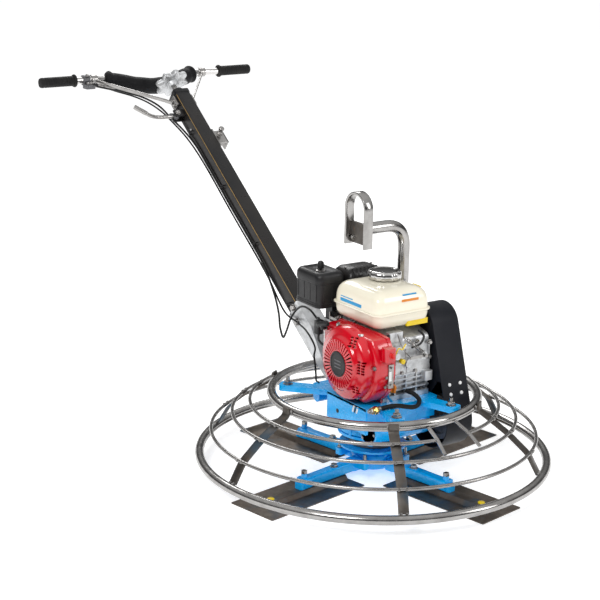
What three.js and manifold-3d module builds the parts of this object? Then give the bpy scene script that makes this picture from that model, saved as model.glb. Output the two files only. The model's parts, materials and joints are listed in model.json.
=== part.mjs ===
// Walk-behind power trowel: four pitched blades under a round guard, a small petrol engine with a belt
// drive and a worm gearbox, a lifting bail, and a long handle with the pitch wheel, lever and throttle.
// Millimetres, +Z up, +Y forward, +X to the operator's right. Blades rest on z = 0.
import * as THREE from 'three';
import { mergeVertices } from 'three/addons/utils/BufferGeometryUtils.js';
import Module from 'manifold-3d';

const wasm = await Module();
wasm.setup();

// ---------------------------------------------------------------- driving dimensions
const GAP = 0.3; // clearance between pieces that touch
const GUARD = { ringR: 470, ringZ: 50, tubeR: 12.5, topR: 276.8, topZ: 220.6, rodR: 4.75 };
// Guard rods as [radius, height].
const GUARD_RODS = { lower: [438.7, 117.7], middle: [381.9, 165.6], upper: [334.5, 196.3] };
const UPRIGHT = { count: 6, firstDeg: 3.2, width: 27, thick: 6 };
const HATCH = { fromDeg: 82, toDeg: 99.5, width: 9, thick: 6 };
const DECK = { top: 230, thick: 8, right: 122, left: -108, front: 142, rear: -120, skirt: 72 };
const BLADE = { count: 4, firstDeg: 10.9, inner: 110, outer: 450, width: 154, thick: 2.6, ribTop: 15.6 };
const ARM = { axisZ: 30, shaftR: 11, outer: 285, width: 34, top: 44 };
const HUB = { radius: 60, bottom: 14, top: 58 };
const SHAFT_R = 17.5;
const WEAR_PLATE = { bottom: 72, top: 78, radius: 92 };
const COLLAR = { bottom: 79.5, top: 94, radius: 66 };
const GEARBOX = { radius: 97, bottom: 118, top: 190, wall: 9, wheelR: 80, wheelZ: 152 };
const WORM = { y: 100, z: 152, radius: 19 };
const CRANK = { y: 46, z: 336, shaftR: 10 };
const BELT = { x: -150, width: 12, thick: 7.8, upperR: 38.2, lowerR: 54.2 };
const BELT_GUARD = { outerX: -199, innerX: -110, wall: 3, upperZ: 398, upperR: 60, lowerR: 80 };
const TANK = { x: -16, y: 0, length: 188, width: 210, corner: 26, bottom: 421, seam: 462, top: 523, wall: 3 };
const FUEL_CAP = { x: -42, y: -25, radius: 46, height: 24 };
const PIPE = { x: -155, y: -91, radius: 16.5, bend: 75, top: 647 };
const LOOP = { y: -91, halfSpan: 47, strap: 8, width: 28, bottom: 603, top: 752 };
const HANDLE = { size: 50.8, wall: 3, foot: [0, -294, 317], length: 940, tiltDeg: 36.5 };
const BAR = { y: -1255, z: 919, radius: 11, halfWidth: 379, dipY: -1205, dipZ: 893, gripLength: 119,
  gripR: 16 };
const PAD = { halfWidth: 158, radius: 26.5 };
const STAR_WHEEL = { beyondTube: 65, radius: 55, thick: 16, lobes: 7 };

const rearExtent = BAR.y - BAR.gripR;
const frontExtent = GUARD.ringR + GUARD.tubeR;
const rotorY = -(rearExtent + frontExtent) / 2; // puts the origin under the middle of the whole machine

// ---------------------------------------------------------------- solids from three.js geometry
function solidOf(geometry) {
  const bare = geometry.clone();
  bare.deleteAttribute('normal');
  bare.deleteAttribute('uv');
  const merged = mergeVertices(bare, 1e-4);
  const index = merged.index.array;
  const place = merged.attributes.position.array;
  const triangles = [];
  for (let i = 0; i < index.length; i += 3) {
    const [a, b, c] = [index[i], index[i + 1], index[i + 2]];
    if (a !== b && b !== c && c !== a) triangles.push([a, b, c]);
  }
  const corner = (k) => new THREE.Vector3().fromArray(place, 3 * k);
  const volume = triangles.reduce((sum, [a, b, c]) => sum + corner(a).dot(corner(b).cross(corner(c))), 0);
  const outward = volume > 0 ? triangles : triangles.map(([a, b, c]) => [a, c, b]);
  const mesh = new wasm.Mesh({
    numProp: 3,
    vertProperties: Float32Array.from(place),
    triVerts: Uint32Array.from(outward.flat()),
  });
  return new wasm.Manifold(mesh);
}

function geometryOf(solid) {
  const { vertProperties, triVerts } = solid.getMesh();
  const geometry = new THREE.BufferGeometry();
  geometry.setAttribute('position', new THREE.BufferAttribute(Float32Array.from(vertProperties), 3));
  geometry.setIndex(new THREE.BufferAttribute(Uint32Array.from(triVerts), 1));
  return geometry;
}

function join(...solids) {
  return solids.reduce((whole, next) => whole.add(next));
}

function cut(whole, ...holes) {
  return holes.reduce((rest, hole) => rest.subtract(hole), whole);
}

// A box between two corners.
function block([x0, y0, z0], [x1, y1, z1]) {
  const geometry = new THREE.BoxGeometry(x1 - x0, y1 - y0, z1 - z0);
  return solidOf(geometry.translate((x0 + x1) / 2, (y0 + y1) / 2, (z0 + z1) / 2));
}

// A round bar between two points.
function bar(radius, from, to, sides = 12, endRadius = radius) {
  const start = new THREE.Vector3(...from);
  const along = new THREE.Vector3(...to).sub(start);
  const geometry = new THREE.CylinderGeometry(endRadius, radius, along.length(), sides);
  geometry.translate(0, along.length() / 2, 0);
  const turn = new THREE.Quaternion().setFromUnitVectors(new THREE.Vector3(0, 1, 0), along.normalize());
  geometry.applyQuaternion(turn);
  return solidOf(geometry.translate(...from));
}

// A profile of [radius, height] turned about +Z. One that starts and ends off the axis is a closed loop.
function turned(profile, sides = 20) {
  const onAxis = profile[0][0] === 0;
  const points = (onAxis ? profile : [...profile, profile[0]]).map(([r, h]) => new THREE.Vector2(r, h));
  return solidOf(new THREE.LatheGeometry(points, sides).rotateX(Math.PI / 2));
}

// The same, turned about an axis along +X through (y, z).
function turnedAlongX(profile, y, z, sides = 20) {
  const solid = turned(profile, sides);
  const turn = new THREE.Matrix4().makeRotationY(Math.PI / 2);
  return placed(solid, new THREE.Matrix4().makeTranslation(0, y, z).multiply(turn));
}

function placed(solid, matrix) {
  return solidOf(geometryOf(solid).applyMatrix4(matrix));
}

// An outline with its corners rounded by the given radius.
function rounded(points, radius) {
  const shape = new THREE.Shape();
  points.forEach(([x, y], i) => {
    const corner = new THREE.Vector2(x, y);
    const before = new THREE.Vector2(...points.at(i - 1)).sub(corner).setLength(radius).add(corner);
    const next = new THREE.Vector2(...points[(i + 1) % points.length]);
    const after = next.sub(corner).setLength(radius).add(corner);
    if (i === 0) shape.moveTo(before.x, before.y);
    else shape.lineTo(before.x, before.y);
    shape.quadraticCurveTo(corner.x, corner.y, after.x, after.y);
  });
  shape.closePath();
  return shape;
}

function rectangle(x0, y0, x1, y1, radius) {
  return rounded([[x0, y0], [x1, y0], [x1, y1], [x0, y1]], radius);
}

function polygon(points) {
  return new THREE.Shape(points.map(([x, y]) => new THREE.Vector2(x, y)));
}

// An outline in the XY plane pushed up from z0 to z1.
function prismZ(shape, z0, z1, options = {}) {
  const settings = { depth: z1 - z0, bevelEnabled: false, curveSegments: 4, ...options };
  const geometry = new THREE.ExtrudeGeometry(shape, settings);
  return solidOf(geometry.translate(0, 0, z0));
}

// An outline in the YZ plane pushed along x from x0 to x1.
function prismX(shape, x0, x1, options = {}) {
  const settings = { depth: x1 - x0, bevelEnabled: false, curveSegments: 4, ...options };
  const geometry = new THREE.ExtrudeGeometry(shape, settings);
  const basis = new THREE.Matrix4().makeBasis(
    new THREE.Vector3(0, 1, 0),
    new THREE.Vector3(0, 0, 1),
    new THREE.Vector3(1, 0, 0),
  );
  return solidOf(geometry.translate(0, 0, x0).applyMatrix4(basis));
}

// A round tube swept along a curve.
function swept(curve, radius, steps, sides = 8, boreRadius = 0) {
  const section = new THREE.Shape().absarc(0, 0, radius, 0, 2 * Math.PI);
  if (boreRadius) section.holes.push(new THREE.Path().absarc(0, 0, boreRadius, 0, 2 * Math.PI, true));
  const options = { steps, curveSegments: sides / 2, bevelEnabled: false, extrudePath: curve };
  return solidOf(new THREE.ExtrudeGeometry(section, options));
}

function smooth(points) {
  return new THREE.CatmullRomCurve3(points.map((p) => new THREE.Vector3(...p)), false, 'centripetal');
}

function ring(radius, tubeRadius, z, sides, steps) {
  return solidOf(new THREE.TorusGeometry(radius, tubeRadius, sides, steps).translate(0, 0, z));
}

const deg = THREE.MathUtils.degToRad;

// ---------------------------------------------------------------- finishes
function finish(color, roughness, metalness) {
  return new THREE.MeshStandardMaterial({ color, roughness, metalness });
}
const brightSteel = finish(0xb9b7b2, 0.28, 1);
const darkSteel = finish(0x5b534b, 0.5, 0.9);
const blackPaint = finish(0x16161a, 0.35, 0.2);
const bluePaint = finish(0x0b96e6, 0.35, 0.1);
const redPaint = finish(0xcf1228, 0.25, 0.1);
const creamPaint = finish(0xf3ecd3, 0.25, 0.05);
const castAluminium = finish(0xb6b8ba, 0.5, 0.8);
const castIron = finish(0x6d6e70, 0.6, 0.7);
const blackPlastic = finish(0x1b1b1d, 0.5, 0);
const blackRubber = finish(0x121212, 0.8, 0);
const brass = finish(0xb58a3c, 0.3, 1);
const redPlastic = finish(0xc81e1e, 0.4, 0);
const orangePlastic = finish(0xe0891c, 0.5, 0);
const padFoam = finish(0x17171a, 0.9, 0);

const machine = new THREE.Group();
const rotorFrame = new THREE.Group();
rotorFrame.position.y = rotorY;
machine.add(rotorFrame);

function add(name, solid, material, parent = rotorFrame) {
  const mesh = new THREE.Mesh(geometryOf(solid), material);
  mesh.name = name;
  parent.add(mesh);
  return mesh;
}

// ---------------------------------------------------------------- guard
add('lower_ring', ring(GUARD.ringR, GUARD.tubeR, GUARD.ringZ, 6, 48), brightSteel);
add('upper_ring', ring(GUARD.topR, GUARD.tubeR, GUARD.topZ, 6, 40), brightSteel);
add('guard_rod_lower', ring(GUARD_RODS.lower[0], GUARD.rodR, GUARD_RODS.lower[1], 4, 48), brightSteel);
add('guard_rod_middle', ring(GUARD_RODS.middle[0], GUARD.rodR, GUARD_RODS.middle[1], 4, 48), brightSteel);

// A bent flat bar in the radial plane at one angle: centre-line points of [radius, height].
function radialStrap(points, width, thick, angleDeg) {
  const half = thick / 2;
  const offset = (sign) => points.map(([r, z], i) => {
    const [r0, z0] = points[Math.max(i - 1, 0)];
    const [r1, z1] = points[Math.min(i + 1, points.length - 1)];
    const run = new THREE.Vector2(r1 - r0, z1 - z0).normalize();
    return [r - sign * half * run.y, z + sign * half * run.x];
  });
  const shape = polygon([...offset(1), ...offset(-1).reverse()]);
  const strap = prismX(shape, -width / 2, width / 2);
  return placed(strap, new THREE.Matrix4().makeRotationZ(deg(angleDeg - 90)));
}

// The upper rod stops at the hatch, where two flat bars run from the top ring down to the middle rod.
function upperRodWithHatch() {
  const [radius, height] = GUARD_RODS.upper;
  class Arc extends THREE.Curve {
    getPoint(t, target = new THREE.Vector3()) {
      const angle = deg(HATCH.toDeg + t * (360 + HATCH.fromDeg - HATCH.toDeg));
      return target.set(radius * Math.cos(angle), radius * Math.sin(angle), height);
    }
  }
  const rod = swept(new Arc(), GUARD.rodR, 48, 4);
  const line = [[294, 214], [336, 197], [374.6, 171.8]];
  const hatchBar = (angle) => radialStrap(line, HATCH.width, HATCH.thick, angle);
  return join(rod, hatchBar(HATCH.fromDeg), hatchBar(HATCH.toDeg));
}
add('guard_rod_upper', upperRodWithHatch(), brightSteel);

const uprightLine = [[294, 233], [294, 212], [330.6, 188.6], [376.9, 158.6], [432.1, 112.2], [461.2, 61]];
for (let i = 0; i < UPRIGHT.count; i += 1) {
  const angle = UPRIGHT.firstDeg + (360 / UPRIGHT.count) * i;
  add(`guard_upright_${i + 1}`, radialStrap(uprightLine, UPRIGHT.width, UPRIGHT.thick, angle), darkSteel);
}

// ---------------------------------------------------------------- frame
function hexBolt(x, y, z, headR = 9.5, headHeight = 8) {
  return join(
    bar(headR, [x, y, z], [x, y, z + headHeight], 6),
    bar(headR * 0.55, [x, y, z - 20], [x, y, z + headHeight + 9], 8),
  );
}

function frameArm(from, to, halfWidth = 19) {
  const run = new THREE.Vector2(to[0] - from[0], to[1] - from[1]).normalize();
  const side = [-run.y * halfWidth, run.x * halfWidth];
  const outline = polygon([
    [from[0] + side[0], from[1] + side[1]],
    [from[0] - side[0], from[1] - side[1]],
    [to[0] - side[0], to[1] - side[1]],
    [to[0] + side[0], to[1] + side[1]],
  ]);
  const boltX = to[0] - run.x * 22;
  const boltY = to[1] - run.y * 22;
  return join(prismZ(outline, 214, 229.8), hexBolt(boltX, boltY, 229.5));
}

function engineDeck() {
  const { top, thick, right, left, front, rear, skirt } = DECK;
  const plate = prismZ(rectangle(left, rear, right, front, 10), top - thick, top);
  const sideRight = block([right - 8, -46, top - skirt], [right, front - 12, top - 1]);
  const sideLeft = block([left, 20, top - 40], [left + 8, front - 12, top - 1]);
  const frontPlate = block([left + 6, front - 16, top - 56], [right - 2, front - 8, top - 1]);
  const crossTube = bar(15, [left + 6, -103, 197], [right - 4, -103, 197], 12);
  const rearWeb = block([left + 12, -118, 176], [right - 12, -110, top - 1]);
  const pipeFoot = join(block([-182, -118, 216], [left + 4, -64, 230]), hexBolt(-120, -91, 229));
  const arms = [
    frameArm([58, 124], [96, 238]),
    frameArm([-58, 124], [-96, 238]),
    frameArm([100, -60], [196, -164]),
    frameArm([-100, -60], [-196, -164]),
  ];
  const sightHole = bar(6, [right - 12, 3, 188], [right + 4, 3, 188], 12);
  return cut(join(plate, sideRight, sideLeft, frontPlate, crossTube, rearWeb, pipeFoot, ...arms), sightHole);
}
add('engine_deck', engineDeck(), bluePaint);

// ---------------------------------------------------------------- gearbox
function gearboxHousing() {
  const { radius, bottom, top, wall, wheelZ } = GEARBOX;
  const drum = turned([[0, bottom], [radius, bottom], [radius, 176], [70, top], [0, top]], 24);
  const tunnel = bar(33, [-92, WORM.y, WORM.z], [92, WORM.y, WORM.z], 16);
  const pedestal = block([-70, -70, 180], [70, 70, DECK.top - DECK.thick - GAP]);
  const inner = radius - wall;
  const roomProfile = [[0, bottom - 5], [inner, bottom - 5], [inner, wheelZ + 14], [0, wheelZ + 20]];
  const wheelRoom = turned(roomProfile, 20);
  const wormRoom = bar(25, [-80, WORM.y, WORM.z], [80, WORM.y, WORM.z], 16);
  const inputHole = bar(11.5, [-100, WORM.y, WORM.z], [0, WORM.y, WORM.z], 16);
  return cut(join(drum, tunnel, pedestal), wheelRoom, wormRoom, inputHole);
}
add('gearbox_housing', gearboxHousing(), bluePaint);

const coverTop = GEARBOX.bottom - GAP;
const coverProfile = [[20, 106], [42, 106], [46, 110], [96, 110], [96, coverTop], [20, coverTop]];
add('gearbox_cover', turned(coverProfile, 24), bluePaint);

// A toothed wheel: each tooth is a block of four outline points.
function wormWheel() {
  const teeth = 20;
  const points = [];
  for (let i = 0; i < teeth; i += 1) {
    const at = (share, r) => {
      const angle = (2 * Math.PI * (i + share)) / teeth;
      return [r * Math.cos(angle), r * Math.sin(angle)];
    };
    points.push(at(0, 74), at(0.2, GEARBOX.wheelR), at(0.5, GEARBOX.wheelR), at(0.7, 74));
  }
  const wheel = prismZ(polygon(points), GEARBOX.wheelZ - 13, GEARBOX.wheelZ + 13);
  return cut(wheel, bar(SHAFT_R + GAP, [0, 0, 100], [0, 0, 200], 24));
}
const rotor = new THREE.Group();
rotorFrame.add(rotor);
add('worm_wheel', wormWheel(), brass, rotor);

// ---------------------------------------------------------------- rotor: hub, arms and blades
// The hub is forged in one with the gearbox's output shaft.
function spiderHub() {
  const body = turned([[0, HUB.bottom], [52, HUB.bottom], [HUB.radius, HUB.bottom + 8], [HUB.radius, HUB.top - 6],
    [50, HUB.top], [0, HUB.top]], 24);
  const shaft = bar(SHAFT_R, [0, 0, HUB.bottom + 4], [0, 0, 168], 24);
  const sockets = [];
  for (let i = 0; i < BLADE.count; i += 1) {
    const angle = deg(BLADE.firstDeg + 90 * i);
    const at = (r) => [r * Math.cos(angle), r * Math.sin(angle), ARM.axisZ];
    sockets.push(bar(ARM.shaftR + 1, at(23), at(HUB.radius + 5), 12));
  }
  return cut(join(body, shaft), ...sockets);
}
add('spider_hub', spiderHub(), bluePaint, rotor);

const wearProfile = [[24, WEAR_PLATE.bottom], [WEAR_PLATE.radius, WEAR_PLATE.bottom],
  [WEAR_PLATE.radius, WEAR_PLATE.top], [24, WEAR_PLATE.top]];
add('wear_plate', turned(wearProfile, 24), bluePaint, rotor);

// One trowel arm along +X: shaft in the hub, bar, pitch finger with its adjusting bolt, and blade bolts.
function trowelArm() {
  const half = ARM.width / 2;
  const shaft = bar(ARM.shaftR, [27, 0, ARM.axisZ], [72, 0, ARM.axisZ], 12);
  const body = block([66, -half, 16], [ARM.outer - 14, half, ARM.top]);
  const toe = block([ARM.outer - 24, -half + 3, 16], [ARM.outer, half - 3, ARM.top - 12]);
  const finger = block([68, half - 4, 30], [88, 54, 48]);
  const adjuster = bar(6, [78, 45, 44], [78, 45, 71.5], 8);
  return join(shaft, body, toe, finger, adjuster, hexBolt(150, 0, ARM.top - 1), hexBolt(260, 0, ARM.top - 1));
}

function trowelBlade() {
  const half = BLADE.width / 2;
  const plate = block([BLADE.inner, -half, 0], [BLADE.outer, half, BLADE.thick]);
  const section = polygon([[-22, 2], [22, 2], [15, BLADE.ribTop], [-15, BLADE.ribTop]]);
  const rib = prismX(section, BLADE.inner + 8, BLADE.outer - 54);
  return join(plate, rib);
}

for (let i = 0; i < BLADE.count; i += 1) {
  const turn = new THREE.Group();
  turn.rotation.z = deg(BLADE.firstDeg + 90 * i);
  rotor.add(turn);
  add(`trowel_arm_${i + 1}`, trowelArm(), bluePaint, turn);
  add(`blade_${i + 1}`, trowelBlade(), darkSteel, turn);
}

// ---------------------------------------------------------------- pitch control under the gearbox
const collarProfile = [[24, COLLAR.bottom], [COLLAR.radius, COLLAR.bottom], [COLLAR.radius, COLLAR.top],
  [24, COLLAR.top]];
add('thrust_collar', turned(collarProfile, 20), castIron);

function pitchYoke() {
  const tines = [-1, 1].map((side) => join(
    block([side * 51 - 5, -104, 98.5], [side * 51 + 5, 9, 104.5]),
    bar(4.6, [side * 40, 0, 99.2], [side * 56, 0, 99.2], 10),
  ));
  const bridge = block([-56, -112, 97], [56, -98, 107]);
  const tail = join(block([-9, -150, 98], [9, -108, 106]), block([-9, -152, 98], [9, -140, 130]));
  return join(...tines, bridge, tail);
}
add('pitch_yoke', pitchYoke(), castIron);

// ---------------------------------------------------------------- belt drive
// An outline around two circles: one on the worm shaft, one at the crankshaft's y (and its height, unless given).
function beltOutline(upperR, lowerR, upperZ = CRANK.z) {
  const segments = 14;
  const upper = new THREE.Vector2(CRANK.y, upperZ);
  const lower = new THREE.Vector2(WORM.y, WORM.z);
  const between = lower.clone().sub(upper);
  const heading = between.angle();
  const spread = Math.acos((upperR - lowerR) / between.length());
  const points = [];
  for (let i = 0; i <= segments; i += 1) {
    const angle = heading + spread + ((2 * Math.PI - 2 * spread) * i) / segments;
    points.push([upper.x + upperR * Math.cos(angle), upper.y + upperR * Math.sin(angle)]);
  }
  for (let i = 0; i <= segments; i += 1) {
    const angle = heading - spread + (2 * spread * i) / segments;
    points.push([lower.x + lowerR * Math.cos(angle), lower.y + lowerR * Math.sin(angle)]);
  }
  return polygon(points);
}

function driveBelt() {
  const { x, width, thick, upperR, lowerR } = BELT;
  const outside = prismX(beltOutline(upperR + thick, lowerR + thick), x - width / 2, x + width / 2);
  const inside = prismX(beltOutline(upperR, lowerR), x - width, x + width);
  return cut(outside, inside);
}
add('drive_belt', driveBelt(), blackRubber);

// Half profile of a grooved pulley: [radius, position along +X].
function groove(rim, floor, x0, x1) {
  const middle = (x0 + x1) / 2;
  return [[rim, x0], [rim, middle - 7.5], [floor, middle - 6.5], [floor, middle + 6.5], [rim, middle + 7.5],
    [rim, x1]];
}

const drumProfile = [[33, -160], [33, -139], [11, -139], [11, -128], [20, -128], [20, -136],
  ...groove(46, 37.3, -161, -139).reverse(), [46, -161]];
add('clutch_pulley', turnedAlongX(drumProfile.slice(0, -1), CRANK.y, CRANK.z), castIron);

// The worm shaft, one in with the large pulley keyed on its outer end.
const wheelProfile = [[0, -166], [20, -166], [20, -153], [48, -153], [48, -161],
  ...groove(62, 53.3, -161, -139), [48, -139], [48, -147], [20, -147], [20, -134], [0, -134]];
add('worm_shaft', join(
  turnedAlongX(wheelProfile, WORM.y, WORM.z),
  bar(WORM.radius, [-52, WORM.y, WORM.z], [52, WORM.y, WORM.z], 16),
  bar(CRANK.shaftR, [-140, WORM.y, WORM.z], [76, WORM.y, WORM.z], 12),
), castIron);

function beltGuard() {
  const { outerX, innerX, wall, upperZ, upperR, lowerR } = BELT_GUARD;
  const outline = (inset) => beltOutline(upperR - inset, lowerR - inset, upperZ);
  const outside = prismX(outline(0), outerX, innerX);
  const inside = prismX(outline(wall), outerX + wall, innerX + 10);
  const slanted = polygon([[-30, 200], [84, 200], [131, 266], [180, 266], [180, 480], [-30, 480]]);
  const keptPart = prismX(slanted, innerX - 10, innerX + 10);
  const innerWall = prismX(outline(1), innerX - wall, innerX).intersect(keptPart);
  const shaftHole = bar(26, [innerX - 10, CRANK.y, CRANK.z], [innerX + 10, CRANK.y, CRANK.z], 20);
  return join(cut(outside, inside), cut(innerWall, shaftHole));
}
add('belt_guard', beltGuard(), blackPaint);

// ---------------------------------------------------------------- engine
const ENGINE_FLOOR = DECK.top + GAP;

function crankcase() {
  const outline = rounded([[-44, 243], [100, 243], [112, 300], [100, 392], [20, 414], [-44, 404]], 12);
  const body = prismX(outline, -104, 52, { curveSegments: 3 });
  const feet = block([-96, -72, ENGINE_FLOOR], [54, 112, 244]);
  const boss = turnedAlongX([[0, -109], [34, -109], [40, -102], [0, -102]], CRANK.y, CRANK.z, 16);
  const shaftBore = bar(12, [-120, CRANK.y, CRANK.z], [70, CRANK.y, CRANK.z], 16);
  const sump = block([-90, -30, 252], [38, 92, 318]);
  return cut(join(body, feet, boss), shaftBore, join(sump, block([-60, 10, 318], [20, 80, 350])));
}
add('crankcase', crankcase(), castAluminium);

// Finned cylinder with its head, laid back 25 degrees from level.
function cylinder() {
  const fins = 7;
  const outline = [];
  for (let i = 0; i < fins; i += 1) {
    const start = i * 12;
    outline.push([start, 50], [start + 5, 50], [start + 5, 40], [start + 12, 40]);
  }
  outline.push([fins * 12, 52], [fins * 12 + 26, 52]);
  const comb = [...outline, ...outline.map(([a, b]) => [a, -b]).reverse()];
  const solid = prismZ(polygon(comb), -40, 40);
  const basis = new THREE.Matrix4().makeBasis(
    new THREE.Vector3(0, -Math.cos(deg(25)), Math.sin(deg(25))),
    new THREE.Vector3(0, Math.sin(deg(25)), Math.cos(deg(25))),
    new THREE.Vector3(1, 0, 0),
  );
  basis.setPosition(-22, -62, 340);
  return placed(solid, basis);
}
const crankcaseRoom = block([-70, -45, 280], [30, 40, 420]);
const mufflerRoom = block([-70, -200, 416], [30, 0, 470]);
add('cylinder', cut(cylinder(), crankcaseRoom, mufflerRoom), castAluminium);

// Pressed fan shroud: a barrel about the crank that runs back over the cylinder.
function shroudOutline(shrink) {
  const radius = 117 - shrink;
  const outline = new THREE.Shape();
  outline.moveTo(-26 + shrink, 233 + shrink);
  outline.lineTo(98, 233 + shrink);
  outline.absarc(CRANK.y, CRANK.z, radius, deg(-62), deg(42), false);
  outline.lineTo(96, 417 - shrink);
  outline.lineTo(-76 + shrink, 414 - shrink);
  outline.lineTo(-92 + shrink, 396);
  outline.lineTo(-92 + shrink, 326);
  outline.closePath();
  return outline;
}

function fanShroud() {
  const outside = prismX(shroudOutline(0), 56, 112, { curveSegments: 9 });
  const inside = prismX(shroudOutline(3), 50, 109, { curveSegments: 9 });
  const mouth = bar(88, [100, CRANK.y, CRANK.z], [120, CRANK.y, CRANK.z], 24);
  const switchBox = block([70, 158, 366], [100, 184, 402]);
  const switchSeat = bar(8.2, [85, 176, 384], [85, 190, 384], 20);
  return cut(join(cut(outside, inside, mouth), switchBox), switchSeat);
}
add('fan_shroud', fanShroud(), redPaint);

// Recoil cover: a stepped dish with radial air slots, open at the back.
function recoilCover() {
  const dish = turnedAlongX([[98, 112 + GAP], [98, 120], [88, 144], [74, 155], [0, 155], [0, 152], [72, 152],
    [85, 142], [95, 119], [95, 112 + GAP]], CRANK.y, CRANK.z, 24);
  const slots = [];
  const count = 12;
  for (let i = 0; i < count; i += 1) {
    const angle = (2 * Math.PI * i) / count;
    const slot = block([148, 36, -4], [160, 66, 4]);
    const turn = new THREE.Matrix4().makeRotationX(angle);
    slots.push(placed(slot, new THREE.Matrix4().makeTranslation(0, CRANK.y, CRANK.z).multiply(turn)));
  }
  return cut(dish, ...slots);
}
add('recoil_cover', recoilCover(), redPaint);

// The crankshaft carries the flywheel at one end and the clutch shoes at the other.
add('crankshaft', join(
  bar(CRANK.shaftR, [-158, CRANK.y, CRANK.z], [112, CRANK.y, CRANK.z], 12),
  turnedAlongX([[0, -157], [30, -157], [30, -143], [0, -143]], CRANK.y, CRANK.z),
  turnedAlongX([[0, 60], [72, 60], [77, 66], [77, 98], [60, 104], [0, 104]], CRANK.y, CRANK.z, 24),
), castIron);

const gripGroup = new THREE.Group();
gripGroup.position.set(130, -62, 412);
gripGroup.rotation.set(deg(18), 0, 0);
rotorFrame.add(gripGroup);
const gripSolid = join(bar(8, [0, -26, 0], [0, 26, 0], 10), bar(7, [0, 0, -14], [0, 0, 0], 8, 9));
add('recoil_grip', gripSolid, blackPlastic, gripGroup);

// Fuel tank: two pressed shells with a seam flange, hollow, with a filler neck.
function fuelTank() {
  const { x, y, length, width, corner, bottom, seam, top, wall } = TANK;
  const outline = (inset) => {
    const halfX = length / 2 - inset;
    const halfY = width / 2 - inset;
    return rectangle(x - halfX, y - halfY, x + halfX, y + halfY, corner - inset / 2);
  };
  const soft = (depth, size) => ({
    bevelEnabled: true, bevelThickness: depth, bevelSize: size, bevelOffset: -size, bevelSegments: 2,
  });
  const below = block([-300, -300, 300], [300, 300, seam]);
  const above = block([-300, -300, seam], [300, 300, 700]);
  const upper = prismZ(outline(5), seam, top - 24, soft(24, 18)).subtract(below);
  const lower = prismZ(outline(5), bottom + 14, seam, soft(14, 16)).subtract(above);
  const flange = prismZ(outline(0), seam - 2.5, seam + 2.5);
  const neck = bar(25, [FUEL_CAP.x, FUEL_CAP.y, top - 8], [FUEL_CAP.x, FUEL_CAP.y, top + 9], 20);
  const room = prismZ(outline(5 + wall + 20), bottom + wall + 6, top - wall - 8);
  const neckBore = bar(20, [FUEL_CAP.x, FUEL_CAP.y, top - 30], [FUEL_CAP.x, FUEL_CAP.y, top + 20], 16);
  return cut(join(upper, lower, flange, neck), room, neckBore);
}
add('fuel_tank', fuelTank(), creamPaint);

// Filler cap, hollow below so that it covers the neck.
function fuelCap() {
  const { x, y, radius, height } = FUEL_CAP;
  const bottom = TANK.top + 1;
  const top = bottom + height;
  const profile = [[0, top], [radius - 10, top], [radius - 1, top - 6], [radius, bottom], [27, bottom],
    [27, top - 7], [0, top - 7]];
  return placed(turned(profile, 28), new THREE.Matrix4().makeTranslation(x, y, 0));
}
add('fuel_cap', fuelCap(), brightSteel);

// Air cleaner: a cover over a base plate, held by a wing nut on top.
const AIR = { x0: 22, x1: 112, y0: -230, y1: -110, bottom: 437, top: 533, wall: 2.5 };
const AIR_STUD = { x: 67, y: -168 };
function airCover() {
  const shell = (inset, z0, z1) => prismZ(
    rectangle(AIR.x0 + inset, AIR.y0 + inset, AIR.x1 - inset, AIR.y1 - inset, 20 - inset), z0, z1,
  );
  const stud = bar(5, [AIR_STUD.x, AIR_STUD.y, AIR.bottom], [AIR_STUD.x, AIR_STUD.y, AIR.top + 20], 10);
  return cut(shell(0, AIR.bottom + 8, AIR.top), shell(AIR.wall, AIR.bottom, AIR.top - AIR.wall), stud);
}
add('air_cleaner_cover', airCover(), blackPlastic);
add('air_cleaner_base', join(
  prismZ(rectangle(AIR.x0, AIR.y0, AIR.x1, AIR.y1, 20), AIR.bottom, AIR.bottom + 7.7),
  bar(3.5, [AIR_STUD.x, AIR_STUD.y, AIR.bottom + 4], [AIR_STUD.x, AIR_STUD.y, AIR.top + 12], 8),
  block([24, -150, 398], [60, -120, AIR.bottom + 2]),
), blackPlastic);
function wingNut() {
  const collar = turned([[4, 0.4], [9, 0.4], [7, 11], [4, 11]], 10);
  const wing = prismX(rounded([[5, 4], [16, 12], [17, 22], [10, 21], [5, 11]], 2), -1.6, 1.6);
  const otherWing = placed(wing, new THREE.Matrix4().makeRotationZ(Math.PI));
  return join(collar, wing, otherWing).translate([AIR_STUD.x, AIR_STUD.y, AIR.top]);
}
add('wing_nut', wingNut(), blackPlastic);

add('carburettor', join(
  block([26, -150, 344], [62, -118, 397.7]),
  bar(17, [44, -134, 322], [44, -134, 348], 16),
  bar(9, [20, -134, 372], [28, -134, 372], 10),
  block([56.5, -214, 352], [62, -146, 397.7]),
  bar(17, [56.5, -190, 338], [84, -190, 338], 16),
), castAluminium);
add('choke_lever', join(
  block([64, -140, 366], [67, -128, 392]),
  bar(4, [62.6, -134, 378], [74, -134, 378], 8),
  block([64, -176, 384], [67, -130, 391]),
), blackPlastic);

// Muffler with its louvred shield, behind the tank and over the cylinder.
function muffler() {
  const body = prismZ(rectangle(-104, -196, 12, -106, 16), 446, 534);
  const room = prismZ(rectangle(-98, -190, 6, -112, 12), 452, 528);
  const louvres = [];
  for (let i = 0; i < 6; i += 1) {
    louvres.push(block([-90 + i * 16, -125, 500], [-84 + i * 16, -100, 535]));
  }
  const outlet = bar(12, [-60, -200, 470], [-60, -180, 470], 12);
  const pipe = block([-60, -160, 418], [-20, -125, 450]);
  return cut(join(body, pipe), room, ...louvres, outlet);
}
add('muffler', muffler(), blackPaint);

add('dipstick', join(
  bar(12, [30, 113, 268], [30, 124, 268], 10),
  block([27, 120, 257], [33, 132, 279]),
), orangePlastic);
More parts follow.
